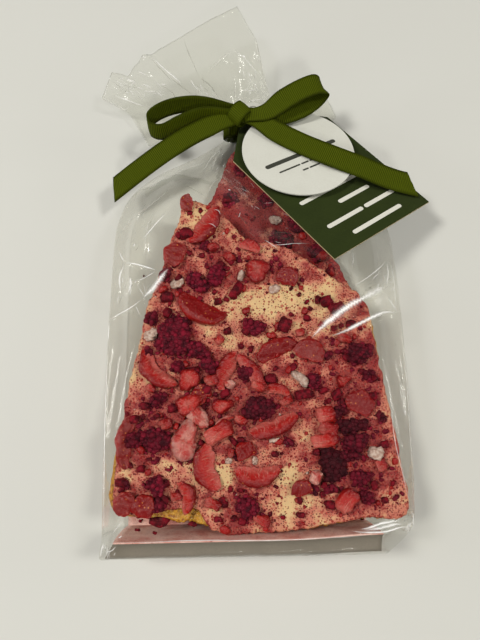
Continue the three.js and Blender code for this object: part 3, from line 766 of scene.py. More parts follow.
def filmMouth():
    # two loose layers of film from the tie to the mouth's edge, pleated near the tie and crumpled at the left
    look = {"cuts": 10, "steps": 44, "apart": 1.0, "pleat": 1.5, "pleats": 30, "crumple": 0.7, "lowest": 0.6}
    edge = np.array(mouthEdge, float)
    across = np.linspace(0, len(edge) - 1, (len(edge) - 1) * look["cuts"] + 1)
    lines = pointsAt(across, np.arange(len(edge)), edge)
    root = np.array([neck["x"], neck["end"], neck["z"]])
    out = 0.05 + 0.95 * np.linspace(0, 1, look["steps"] + 1)
    grid = root + (lines[:, None, :] - root) * out[None, :, None]
    grid[:, :, 2] += (lines[:, None, 2] - root[2]) * (out ** 0.85 - out)[None, :]
    middle = grid.reshape(-1, 3)
    lifted = np.repeat(smooth((lines[:, 2] - 4) / 10), look["steps"] + 1)
    out = np.tile(out, len(lines))
    fan = np.arctan2(middle[:, 0] - root[0], middle[:, 1] - root[1])
    wobble = 0.8 * ripples(middle * (1, 1, 0), 30, 21)
    pleat = (np.abs(np.sin(look["pleats"] / 2 * fan + wobble)) - 0.5) * look["pleat"]
    pleat *= np.sin(np.clip(out, 0, 1) * math.pi) ** 0.5 * (1 - 0.75 * out) * (0.4 + 0.6 * lifted)
    crumpled = smooth((-52 - middle[:, 0]) / 14) * lifted
    crumple = look["crumple"] * facets(middle, 12, 22) * (0.3 + 1.2 * crumpled)
    folds = 0.8 * creaseHeight(middle[:, :2], mouthFolds)
    secondPleat = 0.6 * look["pleat"] * np.sin(fan * look["pleats"] * 0.37 + 1) * np.sin(out * math.pi)
    over, under = middle.copy(), middle.copy()
    over[:, 2] += look["apart"] + pleat + crumple + folds
    under[:, 2] += -look["apart"] + 0.5 * secondPleat + 0.4 * crumple + 0.7 * folds
    over[:, 2] = np.maximum(over[:, 2], look["lowest"] + 0.8)
    under[:, 2] = np.clip(under[:, 2], look["lowest"], over[:, 2] - 0.5)
    width = look["steps"] + 1
    starts = range(0, len(middle), width)
    rings = [np.vstack([over[i:i + width], under[i:i + width][::-1]]) for i in starts]
    columns = 2 * width
    faces = gridFaces(len(rings), columns, closed=True) + foldedEnds(len(rings), columns)
    piece = meshPiece("film_mouth", np.vstack(rings), faces, [film])
    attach(piece, body)
    return piece


makeFolds("film_body_folds", filmBody(), bodyFolds, bodyCrinkles, 71)
makeFolds("film_mouth_folds", filmMouth(), mouthFolds, mouthCrinkles, 72)
print("film made")


# The base card: a board across the bag's flat bottom, bulging outwards, its front edge turned down and out
def baseCard():
    size = {"left": -69.6, "right": 60.7, "top": 39.2, "low": 1.0, "bulge": 2.85, "straightEnd": 1.8,
            "thick": 0.5}
    filmCorner, filmWidth = -74.3, 141.8
    across = np.linspace(0, 1, 44)
    bulge = size["bulge"] - size["straightEnd"] * smooth((across - 0.65) / 0.35)

    def row(y, z, widen=0.0):
        # one line across the board, bulging more the higher it lies, its turned edge shorter at the right
        y = y - (0.11 * -min(y, 0)) * across ** 2
        x = size["left"] - widen + (size["right"] - size["left"] + widen) * across
        out = (z / size["top"]) ** 3.2
        slant = baseSlant * (x - filmCorner) / filmWidth
        return np.stack([x, y + slant - bulge * out, np.full(len(x), z)], 1)
    # the turned edge is steep at the fold and flares out flat: (y, how far down, how much wider)
    flap = [(-7.9, 5.7, 5.0), (-6.3, 5.4, 4.0), (-4.8, 4.9, 3.0), (-3.4, 4.2, 2.2), (-2.2, 3.3, 1.4),
            (-1.2, 2.1, 0.7), (-0.5, 1.0, 0.2)]
    rows = [row(y, size["top"], widen) - (0, 0, drop) for y, drop, widen in flap]
    rows += [row(-0.1, size["top"]), row(0.15, size["top"])]
    rows += [row(0.15, z) for z in np.linspace(size["top"] - 0.8, size["low"] + 1, 12)]
    rows += [row(y, size["low"]) for y in (0, 0.6, 6, 14, 24)]
    faces = gridFaces(len(rows), len(across))
    wall = [int(len(flap) <= f // (len(across) - 1)) for f in range(len(faces))]
    # the flap's faces take the grey of painted shade, the wall's faces the dusted board
    piece = meshPiece("base_card", np.vstack(rows), faces, [flapShadeBoard, pinkBoard], faceMaterial=wall,
                      sheet=True)
    thickness = piece.modifiers.new("board", "SOLIDIFY")
    thickness.thickness = size["thick"] / 1000
    thickness.offset = 0
    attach(piece, body)


baseCard()
print("base card made")


# The toffee slabs: a layer of white chocolate on a thicker layer of honeycomb, broken along every edge
slabs = {
    "front": {"outline": frontOutline, "centre": (0, 76), "low": 18.6, "join": 31.6, "top": 35.0, "seed": 31},
    "rear": {"outline": rearOutline, "centre": (4, 92), "low": 0.8, "join": 11.6, "top": 14.6, "seed": 51},
}
# Where the honeycomb sticks out past the chocolate: (x, y, reach, width)
ledges = [
    (-72, 30, 2.9, 20), (-71, 14, 1.8, 9), (-37, 13, 7.6, 10), (-27, 11, 5.0, 5), (-50, 10, 2.2, 8),
    (64, 104, 2.6, 6), (62, 92, 1.8, 8), (58, 6, 1.2, 22), (30, 3, 1.4, 14), (-6, 0, -1.2, 14),
]
# Where the powder lies thin and the cream shows: (x, y, width, amount)
bareSpots = [
    (-32, 167, 7, 1.4), (-9, 119, 9, 0.7), (18, 121, 10, 1.1), (3, 119, 9, 0.8), (-16, 97, 6, 0.8),
    (-17, 28, 6, 1.1), (15, 28, 6, 1.0), (22, 14, 10, 0.6), (-43, 31, 8, 0.5), (-65, 78, 7, 0.5),
    (46, 134, 8, 0.7), (26, 47, 8, 0.6), (34, 120, 10, 0.8), (12, 10, 8, 0.6), (62, 14, 8, 0.4),
    (-68, 52, 5, 0.5), (-8, 147, 8, 0.4),
]
# Where berry crumbs lie thick: (x, y, reach across, reach along, amount)
redZones = [
    (51, 74, 14, 13, 0.5), (59, 51, 7, 10, 0.4), (53, 24, 13, 8, 0.45), (55, 14, 17, 4, 0.35),
    (-4, 17, 11, 11, 0.5), (-51, 63, 12, 11, 0.5), (-21, 61, 7, 10, 0.6), (-27, 145, 8, 8, 0.3),
    (9, 136, 16, 10, 0.4), (-41, 97, 13, 16, 0.4), (-54, 46, 17, 11, 0.5), (3, 62, 14, 10, 0.6),
    (44, 46, 15, 15, 0.55), (39, 32, 11, 12, 0.4), (54, 89, 11, 9, 0.3), (-27, 82, 10, 8, 0.5),
    (-6, 74, 15, 11, 0.35), (33, 77, 9, 7, 0.35), (-50, 22, 7, 7, 0.3), (16, 41, 12, 6, 0.15),
    (-8, 39, 12, 6, 0.25), (-17, 138, 14, 9, 0.25), (-53, 36, 15, 6, 0.2), (25, 66, 13, 6, 0.2),
    (43, 97, 16, 5, 0.25), (63, 27, 6, 12, 0.2), (-35, 127, 16, 9, 0.25),
]


def brokenRing(outline, step, rough, seed):
    # even points along an outline, its corners eased and its line made uneven, and the way out from each
    ring = closedRing(outline)
    along = lengthAlong(ring)
    places = np.linspace(0, along[-1], int(along[-1] / step), endpoint=False)
    even = pointsAt(places, along, ring)
    for _ in range(3):
        even = (np.roll(even, 1, 0) + 2 * even + np.roll(even, -1, 0)) / 4
    tangent = np.roll(even, -1, 0) - np.roll(even, 1, 0)
    out = unit(np.stack([tangent[:, 1], -tangent[:, 0]], 1))
    middle = even.mean(0)
    if ((even + out - middle) ** 2).sum() < ((even - out - middle) ** 2).sum():
        out = -out
    flat = np.c_[even, 0 * places]
    shift = rough * (ripples(flat, 9, seed) + 0.6 * ripples(flat, 3, seed + 1))
    return even + out * shift[:, None], out


def chocolateTop(slab, xy):
    # how high the uneven chocolate lies at each place; the rear slab's rises under the front one
    flat = np.c_[xy, np.zeros(len(xy))]
    level = slab["top"] + 0.55 * ripples(flat, 30, slab["seed"]) + 0.22 * ripples(flat, 7, slab["seed"] + 1)
    if slab is slabs["rear"]:
        underFront = smooth((150 - xy[:, 1]) / 60)
        level = level + 1.6 * underFront
    return level


def layer(name, slab, ring, out, topOf, bottomOf, look, materials, extra=None):
    # one closed layer: a top of shrinking rings, a rough broken side with round pits and a plain underside
    # about how far the edge lies from the middle, and how far in from it the top rounds off
    span, eased = 70, 1.6
    rng = np.random.default_rng(look["seed"])
    count = len(ring)
    centre = np.array(slab["centre"], float)
    insets = np.array([0, 0.4, 0.9, 1.6, 2.4])
    shares = np.concatenate([1 - insets / span, np.linspace(0.955, 0.02, look["rings"])])
    topRows = []
    for share in shares:
        xy = centre + (ring - centre) * share
        toEdge = max(0, 1 - (1 - share) * span / eased)
        topRows.append(np.c_[xy, topOf(xy) - look["edge"] * (1 - math.sqrt(1 - toEdge ** 2))])
    arc = lengthAlong(ring)
    sideTop, sideLow = topRows[0][:, 2] - look["edge"] * 0.2, bottomOf(ring)
    tall = float((sideTop - sideLow).mean())
    pitAt = rng.uniform(0, 1, (look["pits"], 2)) * (arc[-1], tall)
    pitSize = look["pitSize"] * rng.uniform(0.35, 1.0, look["pits"]) ** 1.5
    sideRows, sidePits = [], []
    for t in np.linspace(0, 1, look["sides"] + 2)[1:-1]:
        here = np.c_[ring, sideTop + (sideLow - sideTop) * t]
        bulge = look["bulge"] * math.sin(t * math.pi)
        coarse, fine = ripples(here, 4, look["seed"] + 2), ripples(here, 1.6, look["seed"] + 3)
        rough = look["rough"] * (coarse + 0.5 * fine)
        far = np.hypot(arc[:, None] - pitAt[None, :, 0], t * tall - pitAt[None, :, 1])
        pit = np.sqrt(np.maximum(pitSize ** 2 - far ** 2, 0)).max(1) if look["pits"] else np.zeros(count)
        fade = math.sin(t * math.pi) ** 0.3
        sideRows.append(np.c_[ring + out * ((bulge + rough - pit) * fade)[:, None], here[:, 2]])
        sidePits.append(pit / look["pitSize"])
    lowRows = []
    for share in np.linspace(0.995, 0.02, 14):
        xy = centre + (ring - centre) * share
        lowRows.append(np.c_[xy, bottomOf(xy)])
    rows = topRows[::-1] + sideRows + lowRows
    points = np.vstack(rows + [rows[0].mean(0), rows[-1].mean(0)])
    pits = [np.zeros(count * len(topRows))] + sidePits + [np.zeros(count * len(lowRows) + 2)]
    # the pit depth also darkens the honeycomb's colour in its pits as painted shade
    attributes = {"pit": np.concatenate(pits), **(extra(points) if extra else {})}
    piece = meshPiece(name, points, closedFaces(len(rows), count), materials, attributes)
    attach(piece, body)
    return piece


def powderShare(points):
    # how thick the berry powder lies at each point; the rear slab carries more of it, partly real powder and
    # partly painted shade, darkening it for the shade it lies in under the front slab and the tag
    rear = points[:, 2] < 25
    share = np.where(rear, 1.13, 0.7)
    for x, y, width, amount in bareSpots:
        share -= amount * 0.62 * bellAt(points, x, y, width, width)
    for x, y, across, along, amount in redZones:
        share += amount * bellAt(points, x, y, across, along)
    share += 0.2 * ripples(points * (1, 1, 0), 16, 41) + 0.12 * ripples(points * (1, 1, 0), 6, 42)
    return {"powder": np.clip(share, 0, np.where(rear, 1.2, 1))}


def makeSlab(key):
    # a coat of chocolate on a core of honeycomb, which stands back from the coat except at its ledges
    slab = slabs[key]
    coat = {"seed": slab["seed"] + 5, "rings": 62, "sides": 5, "edge": 0.9, "bulge": 0.2, "rough": 0.22,
            "pits": 0, "pitSize": 1.0}
    core = {"seed": slab["seed"] + 6, "rings": 20, "sides": 20, "edge": 0.6, "bulge": 0.7, "rough": 0.35,
            "pits": 1500, "pitSize": 2.4}
    ring, out = brokenRing(slab["outline"], 0.85, 0.35, slab["seed"])
    top = layer(key + "_chocolate", slab, ring, out, lambda xy: chocolateTop(slab, xy),
                lambda xy: np.full(len(xy), slab["join"]), coat, [chocolate], powderShare)
    reach = np.full(len(ring), -0.7)
    if key == "front":
        for x, y, far, width in ledges:
            reach += far * bellAt(ring, x, y, width, width)

    def underside(xy):
        low = np.full(len(xy), slab["low"])
        return np.maximum(low, edgeOf["back"](xy[:, 1]) + 0.8) if key == "rear" else low
    base = layer(key + "_honeycomb", slab, ring + out * reach[:, None], out,
                 lambda xy: np.full(len(xy), slab["join"] - 0.05), underside, core, [honeycomb])
    return top


chocolateTops = {key: makeSlab(key) for key in slabs}
print("slabs made")


# Shapes of the toppings, each lying flat round its own middle
def sliceShape(length, width, thick, form, curl, seed):
    # a slice of dried strawberry; returns points, faces and (turn, outward) of each point, and outward runs
    # from nought at the core to one on the skin
    if form in ("half", "skin"):
        points, faces, section = beanShape(length, width, thick, curl - (0.12 if form == "skin" else 0), seed)
        if form == "skin":
            section[:, 1] = 0.68 + 0.32 * np.sin(section[:, 1] * math.pi) ** 0.5
        return points, faces, section
    turns = 56
    angle = anglesRound(turns)
    forward, aside = np.cos(angle), np.sin(angle)
    if form == "heart":
        edge = np.stack([length / 2 * forward, width / 2 * aside * (1 - 0.32 * forward)], 1)
        middle = np.array([-0.05 * length, 0])
    else:
        edge = squared(np.stack([forward, aside], 1), 0.55) * (length / 2, width / 2)
        middle = np.array([0, 0])
    edge *= 1 + 0.06 * ripples(np.c_[edge, 0 * angle], 0.6 * width, seed + 5)[:, None]
    shares = [0.02, 0.16, 0.32, 0.47, 0.6, 0.72, 0.82, 0.9, 0.96, 1.0]
    rows, turnOf, outOf = [], [], []
    order = [(s, 1) for s in shares] + [(s, -1) for s in shares[-2::-1]]
    for share, side in order:
        xy = middle + (edge - middle) * share
        z = side * thick / 2 * (1 - share ** 5) ** 0.5
        if form == "heart":
            outward, turn = np.full(turns, share), angle / (2 * math.pi)
        else:
            outward, turn = xy[:, 0] / length + 0.5 + 0.1 * aside, xy[:, 1] / width * 0.4
        rows.append(np.c_[xy, np.full(turns, z)])
        turnOf.append(turn)
        outOf.append(np.clip(outward, 0, 1))
    points = np.vstack(rows + [rows[0].mean(0), rows[-1].mean(0)])
    hubs = [float(outOf[0].mean())] * 2
    section = np.c_[np.concatenate(turnOf + [[0, 0]]), np.concatenate(outOf + [hubs])]
    fold = 0.13 * np.sin(section[:, 0] * 2 * math.pi * 13) * section[:, 1] ** 2
    points[:, 2] += fold * np.sign(points[:, 2])
    return shrivelled(points, length, curl * width, seed), closedFaces(len(order), turns), section


def beanShape(length, width, thick, curl, seed):
    # a wedge of strawberry: blunt at both ends, its skin along the outer side, its cut flesh along the inner
    rows, turns = 34, 30
    s = -np.cos(np.linspace(0, math.pi, rows + 2))[1:-1]
    around = anglesRound(turns)
    across, up = squared(np.cos(around), 0.8), squared(np.sin(around), 0.65)
    reach = (1 - np.abs(s) ** 2.4) ** 0.5
    x = np.repeat(s * length / 2, turns)
    y = np.outer(reach, across).ravel() * width / 2
    z = np.outer(reach, up * (0.65 + 0.35 * across)).ravel() * thick / 2
    points = np.vstack([np.c_[x, y, z], [(-length / 2, 0, 0)], [(length / 2, 0, 0)]])
    section = np.c_[np.repeat(s / 2, turns), np.tile((across + 1) / 2, rows)]
    section = np.vstack([section, [(-0.5, 0.7)], [(0.5, 0.7)]])
    return shrivelled(points, length, (0.25 + curl) * width, seed), closedFaces(rows, turns), section


def shrivelled(points, length, bend, seed):
    # dents and wrinkles of drying, and the bend of the whole slice
    wrinkle = dents(points, 2.3, range(seed + 2, seed + 5))
    fine = dents(points, 1.2, range(seed + 6, seed + 9))
    points = points + wrinkle * (0.16, 0.16, 0.26) + fine * (0.07, 0.07, 0.12)
    toEnd = (2 * points[:, 0] / length) ** 2
    points[:, 2] += 0.4 * ripples(points, 6, seed) + 0.7 * toEnd
    points[:, :2] += 0.4 * dents(points, 7, (seed + 10, seed + 11))
    points[:, 1] -= bend * (2 * points[:, 0] / length) ** 2
    return points


def unitBall(subdivisions):
    shape = bmesh.new()
    bmesh.ops.create_icosphere(shape, subdivisions=subdivisions, radius=1)
    points = np.array([v.co for v in shape.verts])
    faces = [tuple(v.index for v in f.verts) for f in shape.faces]
    shape.free()
    return points, faces


balls = {level: unitBall(level) for level in (1, 2, 3)}


def chunkShape(size, boxy, seed, level):
    # an uneven lump between a ball (boxy 1) and a block (boxy near 0.4)
    points, faces = balls[level]
    points = squared(points, boxy)
    points = points / np.linalg.norm(points, axis=1)[:, None] ** (0.35 if boxy < 0.9 else 1)
    points = points * (1 + 0.2 * ripples(points, 2.2, seed)[:, None])
    points = points + 0.09 * dents(points, 0.9, range(seed + 1, seed + 4))
    return points * (np.array(size) / 2), list(faces)


# How high a topping may reach under the film
roofOver = {"front": 41.2, "rear": 24.0}


def settle(points, slab, x, y, heading, lean=0, pitch=0, sink=0.8, ceiling=roofOver["front"]):
    # leans and turns a shape, sets it on the chocolate at x, y and keeps it under the film, which is lower by
    # a millimetre at the front slab's peak
    placed = points @ leaned("X", lean).T @ leaned("Y", pitch).T @ turned(heading).T
    surface = float(chocolateTop(slab, np.array([[x, y]]))[0])
    placed = placed + (x, y, surface - sink - placed[:, 2].min())
    highest = placed[:, 2].max()
    nearPeak = float(smooth((y - 135) / 12))
    ceiling -= nearPeak
    if highest > ceiling:
        squeeze = (ceiling - surface + sink) / (highest - surface + sink)
        placed[:, 2] = surface - sink + (placed[:, 2] - surface + sink) * squeeze
    return placed


# Strawberry on the front slab: (x, y, length, width, thickness, heading, lean, pitch, form, curl, tone);
# tone runs from pale flesh at -1 to the darkest skin at 1
strawberries = [
    (-38, 173, 10, 6.8, 5, 95, 0, 0, "skin", 0, -0.15), (-27, 159, 25, 11.2, 6, 232, 14, 0, "half", 0, 0.3),
    (-44, 144, 14, 11.5, 6, 60, 0, 8, "skin", 0, -0.1),
    (-30, 112, 28, 11.8, 7, 152, 12, 0, "skin", 0.2, 0.1),
    (-54, 80, 27, 9.3, 7, 130, 10, 0, "half", 0.35, 0.2), (-35, 76, 12, 10.2, 6, 240, 0, 0, "heart", 0, 0.1),
    (-16, 82, 22, 8.8, 6, 66, 10, 0, "half", -0.1, 0.15),
    (-2, 80, 24, 7.2, 5, -54, -8, 0, "half", -0.15, 0.3), (1, 73, 8, 5.1, 6, -30, 0, 0, "block", 0, -0.1),
    (10, 72, 15, 5.6, 5, -8, 8, 0, "half", 0.1, 0.05), (-14, 74, 5, 4.1, 4, 30, 0, 0, "block", 0, -0.5),
    (-34, 64, 14, 10.1, 6, 25, 0, 0, "heart", 0, -0.05), (-29, 57, 13, 9.5, 5, -50, 0, 0, "heart", 0, -0.45),
    (-36, 46, 20, 12.9, 5, 78, 8, 0, "heart", 0, -0.38), (-19, 50, 16, 8.0, 7, 33, 0, 0, "block", 0, -0.05),
    (-17, 56, 11, 3.5, 6, 28, 0, 0, "half", 0.2, -0.35), (-17, 63, 11, 6.6, 6, 18, 0, 0, "heart", 0, 0.15),
    (-67, 45, 26, 8.0, 6, 86, 12, 0, "skin", 0.1, -0.1),
    (-26, 32, 24, 11.7, 7, 104, 10, 0, "half", 0.05, 0.05),
    (-34, 19, 16, 7.7, 6, -76, 10, 0, "half", 0.1, 0.1),
    (-65.5, 15.5, 12.5, 10.4, 7, 60, 0, 0, "skin", 0, -0.1),
    (-55.5, 14.5, 12, 11.4, 7, -20, 0, 0, "skin", 0, 0), (0, 28, 23, 10.2, 6, 181, 8, 0, "half", 0.05, 0.15),
    (-6, 41, 10, 8.9, 6, 20, 0, 0, "skin", 0, 0.0), (-3, 149, 12, 6.1, 5, -15, 0, 0, "half", 0, 0.05),
    (1, 135, 14, 12.0, 5, 35, 0, 0, "heart", 0, 0.45), (17, 132, 12, 9.8, 5, -25, 0, 0, "skin", 0, 0.3),
    (10, 93, 23, 9.4, 6, 24, 10, 0, "skin", 0.1, 0.2), (28, 92, 16, 11.5, 5, -20, 0, 0, "skin", 0, -0.1),
    (9, 52, 27, 8.5, 6, 201, 10, 0, "half", 0, 0.25), (35, 59, 9, 8.1, 6, 10, 0, 0, "block", 0, 0.1),
    (36, 52, 11, 6.5, 6, -12, 0, 0, "block", 0, 0.5), (34, 46, 14, 6.9, 6, 8, 0, 0, "block", 0, 0),
    (53, 65, 15, 12.2, 5, -32, 0, 0, "skin", 0, 0.2), (22, 23, 10, 7.7, 6, 10, 0, 0, "skin", 0, 0.2),
    (29, 28, 7, 5.3, 6, 70, 0, 0, "block", 0, -0.6), (44, 17, 12, 8.6, 6, 48, 0, 0, "block", 0, 0.1),
    (-40, 19, 5, 3.8, 4, 20, 0, 0, "block", 0, 0.4), (-13, 40, 5, 3.0, 4, 80, 0, 0, "block", 0, 0.5),
    (62, 34, 6, 5.9, 4, 20, 0, 0, "block", 0, 0.35), (23, 101, 5, 4.2, 4, 20, 0, 0, "block", 0, 0.3),
    (-19, 97, 5, 4.2, 4, 50, 0, 0, "block", 0, 0), (-29, 69, 11, 7.6, 5, 70, 0, 0, "skin", 0, 0.2),
    (-23, 76, 8, 6.1, 5, 20, 0, 0, "block", 0, 0.35), (-8, 56, 7, 4.5, 4, -30, 0, 0, "block", 0, 0.2),
    (-46, 54, 7, 5.0, 4, 10, 0, 0, "block", 0, 0.5), (-54, 72, 5, 3.6, 4, -30, 0, 0, "block", 0, 0.3),
    (2, 8, 9, 4.8, 4, -20, 0, 0, "block", 0, 0.2), (15, 66, 7, 4.6, 4, 40, 0, 0, "block", 0, 0.35),
    (45, 76, 8, 5.6, 4, 20, 0, 0, "heart", 0, 0.4), (-23, 148, 8, 5.0, 4, 10, 0, 0, "heart", 0, 0.5),
    (-22, 15, 8, 4.8, 4, -20, 0, 0, "block", 0, 0.3), (46, 98, 8, 4.7, 4, -25, 0, 0, "block", 0, 0.4),
    (-14, 142, 8, 4.9, 3.5, -20, 0, 0, "heart", 0, 0.45),
]


def makeStrawberries():
    shapes, sections = [], []
    for i, (x, y, length, width, thick, heading, lean, pitch, form, curl, _) in enumerate(strawberries):
        points, faces, section = sliceShape(length, width, thick, form, curl, 100 + 7 * i)
        shapes.append((settle(points, slabs["front"], x, y, heading, lean, pitch), faces))
        sections.append(section)
    tones = [row[-1] for row in strawberries]
    piece = pile("strawberry_slices", shapes, strawberry, {"tone": tones}, np.vstack(sections))
    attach(piece, body)


makeStrawberries()
print("strawberries made")


# Geometry Nodes trees, each run once on a piece
def newTree(name, inputs):
    # a tree with a geometry input and output, its node adder and its inputs: (name, socket kind, value)
    tree = bpy.data.node_groups.new(name, "GeometryNodeTree")
    tree.interface.new_socket("Geometry", in_out="INPUT", socket_type="NodeSocketGeometry")
    for label, kind, value in inputs:
        socket = tree.interface.new_socket(label, in_out="INPUT", socket_type="NodeSocket" + kind)
        socket.default_value = value
    tree.interface.new_socket("Geometry", in_out="OUTPUT", socket_type="NodeSocketGeometry")
    add = nodeAdder(tree)
    return tree, add, add("NodeGroupInput")


def runTree(piece, tree, values):
    # sets the inputs by identifier, keeps the result as a plain mesh and takes the modifier off
    modifier = piece.modifiers.new(tree.name, "NODES")
    modifier.node_group = tree
    for item in tree.interface.items_tree:
        if item.in_out == "INPUT" and item.name in values:
            modifier[item.identifier] = values[item.name]
    graph = bpy.context.evaluated_depsgraph_get()
    made = bpy.data.meshes.new_from_object(piece.evaluated_get(graph), depsgraph=graph)
    piece.modifiers.remove(modifier)
    made.name = piece.name
    piece.data = made


def randomScale(add, group, low, high, seed):
    # a seeded shape between low and high times a seeded size
    size = add("FunctionNodeRandomValue", {2: group["Smallest"], 3: group["Largest"], "Seed": group["Seed"]},
               data_type="FLOAT")[1]
    shape = add("FunctionNodeRandomValue", {0: low, 1: high, "Seed": seed}, data_type="FLOAT_VECTOR")
    return add("ShaderNodeVectorMath", {0: shape, "Scale": size}, operation="SCALE")


def drupeletTree():
    # round seeds packed over each berry's body, joined with the body
    tree, add, group = newTree("drupelets", [
        ("Spacing", "Float", 0.002), ("Smallest", "Float", 0.0012), ("Largest", "Float", 0.0018),
        ("Seed", "Int", 1), ("Skin", "Material", None)])
    spread = add("GeometryNodeDistributePointsOnFaces", {
        "Mesh": group["Geometry"], "Distance Min": group["Spacing"], "Density Max": 500000.0,
        "Seed": group["Seed"]}, distribute_method="POISSON")
    ball = add("GeometryNodeMeshIcoSphere", {"Radius": 1.0, "Subdivisions": 2})
    seeds = add("GeometryNodeInstanceOnPoints", {
        "Points": spread["Points"], "Instance": ball, "Rotation": spread["Rotation"],
        "Scale": randomScale(add, group, (0.75, 0.8, 0.55), (1.1, 1.15, 0.95), 4)})
    own = add("FunctionNodeRandomValue", {2: 0.0, 3: 1.0, "Seed": 8}, data_type="FLOAT")[1]
    tinted = add("GeometryNodeStoreNamedAttribute", {"Geometry": seeds, "Name": "tint", "Value": own},
                 data_type="FLOAT", domain="INSTANCE")
    solid = add("GeometryNodeRealizeInstances", {"Geometry": tinted})
    both = add("GeometryNodeJoinGeometry", {0: [solid, group["Geometry"]]})
    soft = add("GeometryNodeSetShadeSmooth", {0: both})
    skin = add("GeometryNodeSetMaterial", {"Geometry": soft, "Material": group["Skin"]})
    add("NodeGroupOutput", {0: skin})
    return tree


def grainTree():
    # loose grains scattered over a slab's top, thicker where its powder lies thicker
    tree, add, group = newTree("grains", [
        ("Density", "Float", 100000.0), ("Smallest", "Float", 0.0002), ("Largest", "Float", 0.0006),
        ("Seed", "Int", 1), ("Skin", "Material", None)])
    powder = add("GeometryNodeInputNamedAttribute", {"Name": "powder"}, data_type="FLOAT")
    thick = add("ShaderNodeMath", {0: powder["Attribute"], 1: 1.6}, operation="POWER")
    split = add("ShaderNodeSeparateXYZ", {0: add("GeometryNodeInputNormal")})
    spread = add("GeometryNodeDistributePointsOnFaces", {
        "Mesh": group["Geometry"],
        "Selection": add("ShaderNodeMath", {0: split["Z"], 1: 0.5}, operation="GREATER_THAN"),
        "Density": add("ShaderNodeMath", {0: thick, 1: group["Density"]}, operation="MULTIPLY"),
        "Seed": group["Seed"]}, distribute_method="RANDOM")
    grain = add("GeometryNodeMeshIcoSphere", {"Radius": 1.0, "Subdivisions": 1})
    turn = add("FunctionNodeRandomValue", {0: (0.0, 0.0, 0.0), 1: (0.6, 0.6, 6.283), "Seed": 9},
               data_type="FLOAT_VECTOR")
    grains = add("GeometryNodeInstanceOnPoints", {
        "Points": spread["Points"], "Instance": grain, "Rotation": turn,
        "Scale": randomScale(add, group, (0.7, 0.6, 0.45), (1.5, 1.1, 0.9), 5)})
    solid = add("GeometryNodeRealizeInstances", {"Geometry": grains})
    skin = add("GeometryNodeSetMaterial", {"Geometry": solid, "Material": group["Skin"]})
    add("NodeGroupOutput", {0: skin})
    return tree


def ribTree():
    # raises the ribbon's cross ribs along its length and keeps their height, which the colour uses for the
    # painted sheen on each rib and painted shade between them
    tree, add, group = newTree("ribs", [
        ("Pitch", "Float", 1.1), ("Depth", "Float", 0.0002), ("Skin", "Material", None)])
    along, inner = (add("GeometryNodeInputNamedAttribute", {"Name": name}, data_type="FLOAT")["Attribute"]
                    for name in ("along", "inner"))
    phase = add("ShaderNodeMath", {0: along, 1: group["Pitch"]}, operation="DIVIDE")
    turn = add("ShaderNodeMath", {0: phase, 1: 2 * math.pi}, operation="MULTIPLY")
    swing = add("ShaderNodeMath", {0: turn}, operation="SINE")
    wave = add("ShaderNodeMath", {0: swing, 1: 0.5, 2: 0.5}, operation="MULTIPLY_ADD")
    rib = add("ShaderNodeMath", {0: wave, 1: inner}, operation="MULTIPLY")
    lift = add("ShaderNodeMath", {0: rib, 1: group["Depth"]}, operation="MULTIPLY")
    normal = add("GeometryNodeInputNormal")
    offset = add("ShaderNodeVectorMath", {0: normal, "Scale": lift}, operation="SCALE")
    keep = add("GeometryNodeStoreNamedAttribute", {
        "Geometry": group["Geometry"], "Name": "rib", "Value": rib}, data_type="FLOAT", domain="POINT")
    raised = add("GeometryNodeSetPosition", {"Geometry": keep, "Offset": offset})
    skin = add("GeometryNodeSetMaterial", {"Geometry": raised, "Material": group["Skin"]})
    add("NodeGroupOutput", {0: skin})
    return tree


# Raspberries on the front slab: (x, y, length, width, height, heading, shade)
raspberries = [
    (-43, 100, 22, 18, 9, 75, 0.2), (-31, 92, 14, 10, 7, -30, 0.25), (-25, 84, 12, 9, 6, -50, 0.35),
    (-31, 128, 14, 9, 7, -35, 0.1), (-21, 132, 12, 10, 7, 70, 0.05), (-49, 132, 9, 7, 6, 75, 0.4),
    (-55, 109, 8, 8, 6, 60, 0.4), (-50, 66, 10, 7, 5, 30, 0.45), (-61, 46, 10, 9, 6, 10, 0.45),
    (-50, 46, 18, 12, 7, -10, 0.35), (2, 62, 17, 13, 8, 0, 0.6), (-6, 80, 9, 8, 7, 40, 0.45),
    (-50, 24, 10, 10, 7, 40, 0.1), (-48, 15, 9, 8, 7, 70, 0.4), (-5, 14, 11, 13, 8, 80, 0.15),
    (-1, 104, 13, 9, 6, -15, 0.15), (54, 90, 14, 11, 7, 20, 0.6), (30, 76, 9, 9, 6, 20, 0.15),
    (48, 53, 17, 8, 7, 0, 0.85), (50, 45, 13, 11, 7, 20, 0.55), (38, 34, 14, 18, 8, 20, 0.95),
    (47, 39, 11, 7, 6, 0, 0.6), (28, 21, 6, 5, 5, 0, 0.4), (36, 22, 7, 5, 5, 0, 0.25),
    (52, 28, 11, 8, 5, 10, 0.3), (54, 19, 7, 8, 5, 60, 0.35), (38, 89, 7, 5, 5, 20, 0.5),
    (64, 57, 6, 6, 5, 0, 0.6), (16, 45, 7, 6, 5, 0, 0.3), (-65, 24, 6, 5, 5, 10, 0.3),
    (42, 60, 7, 7, 5, 0, 0.7), (-41, 83, 10, 7, 6, 10, 0.35), (-56, 91, 7, 7, 5, 0, 0.3),
    (59, 79, 7, 6, 4, 0, 0.4), (-27, 149, 7, 5, 4, 0, 0.3),
]
# Raspberries and lumps on the rear slab, seen through the film
rearRaspberries = [
    (-8, 205, 12, 9, 4, 70, 0.1), (8, 186, 14, 11, 5, 30, 0.0), (26, 170, 14, 11, 5, -20, 0.1),
    (36, 153, 13, 11, 5, 50, 0.1), (-14, 186, 12, 10, 5, 20, 0.1), (16, 160, 15, 12, 5, 0, 0.0),
]


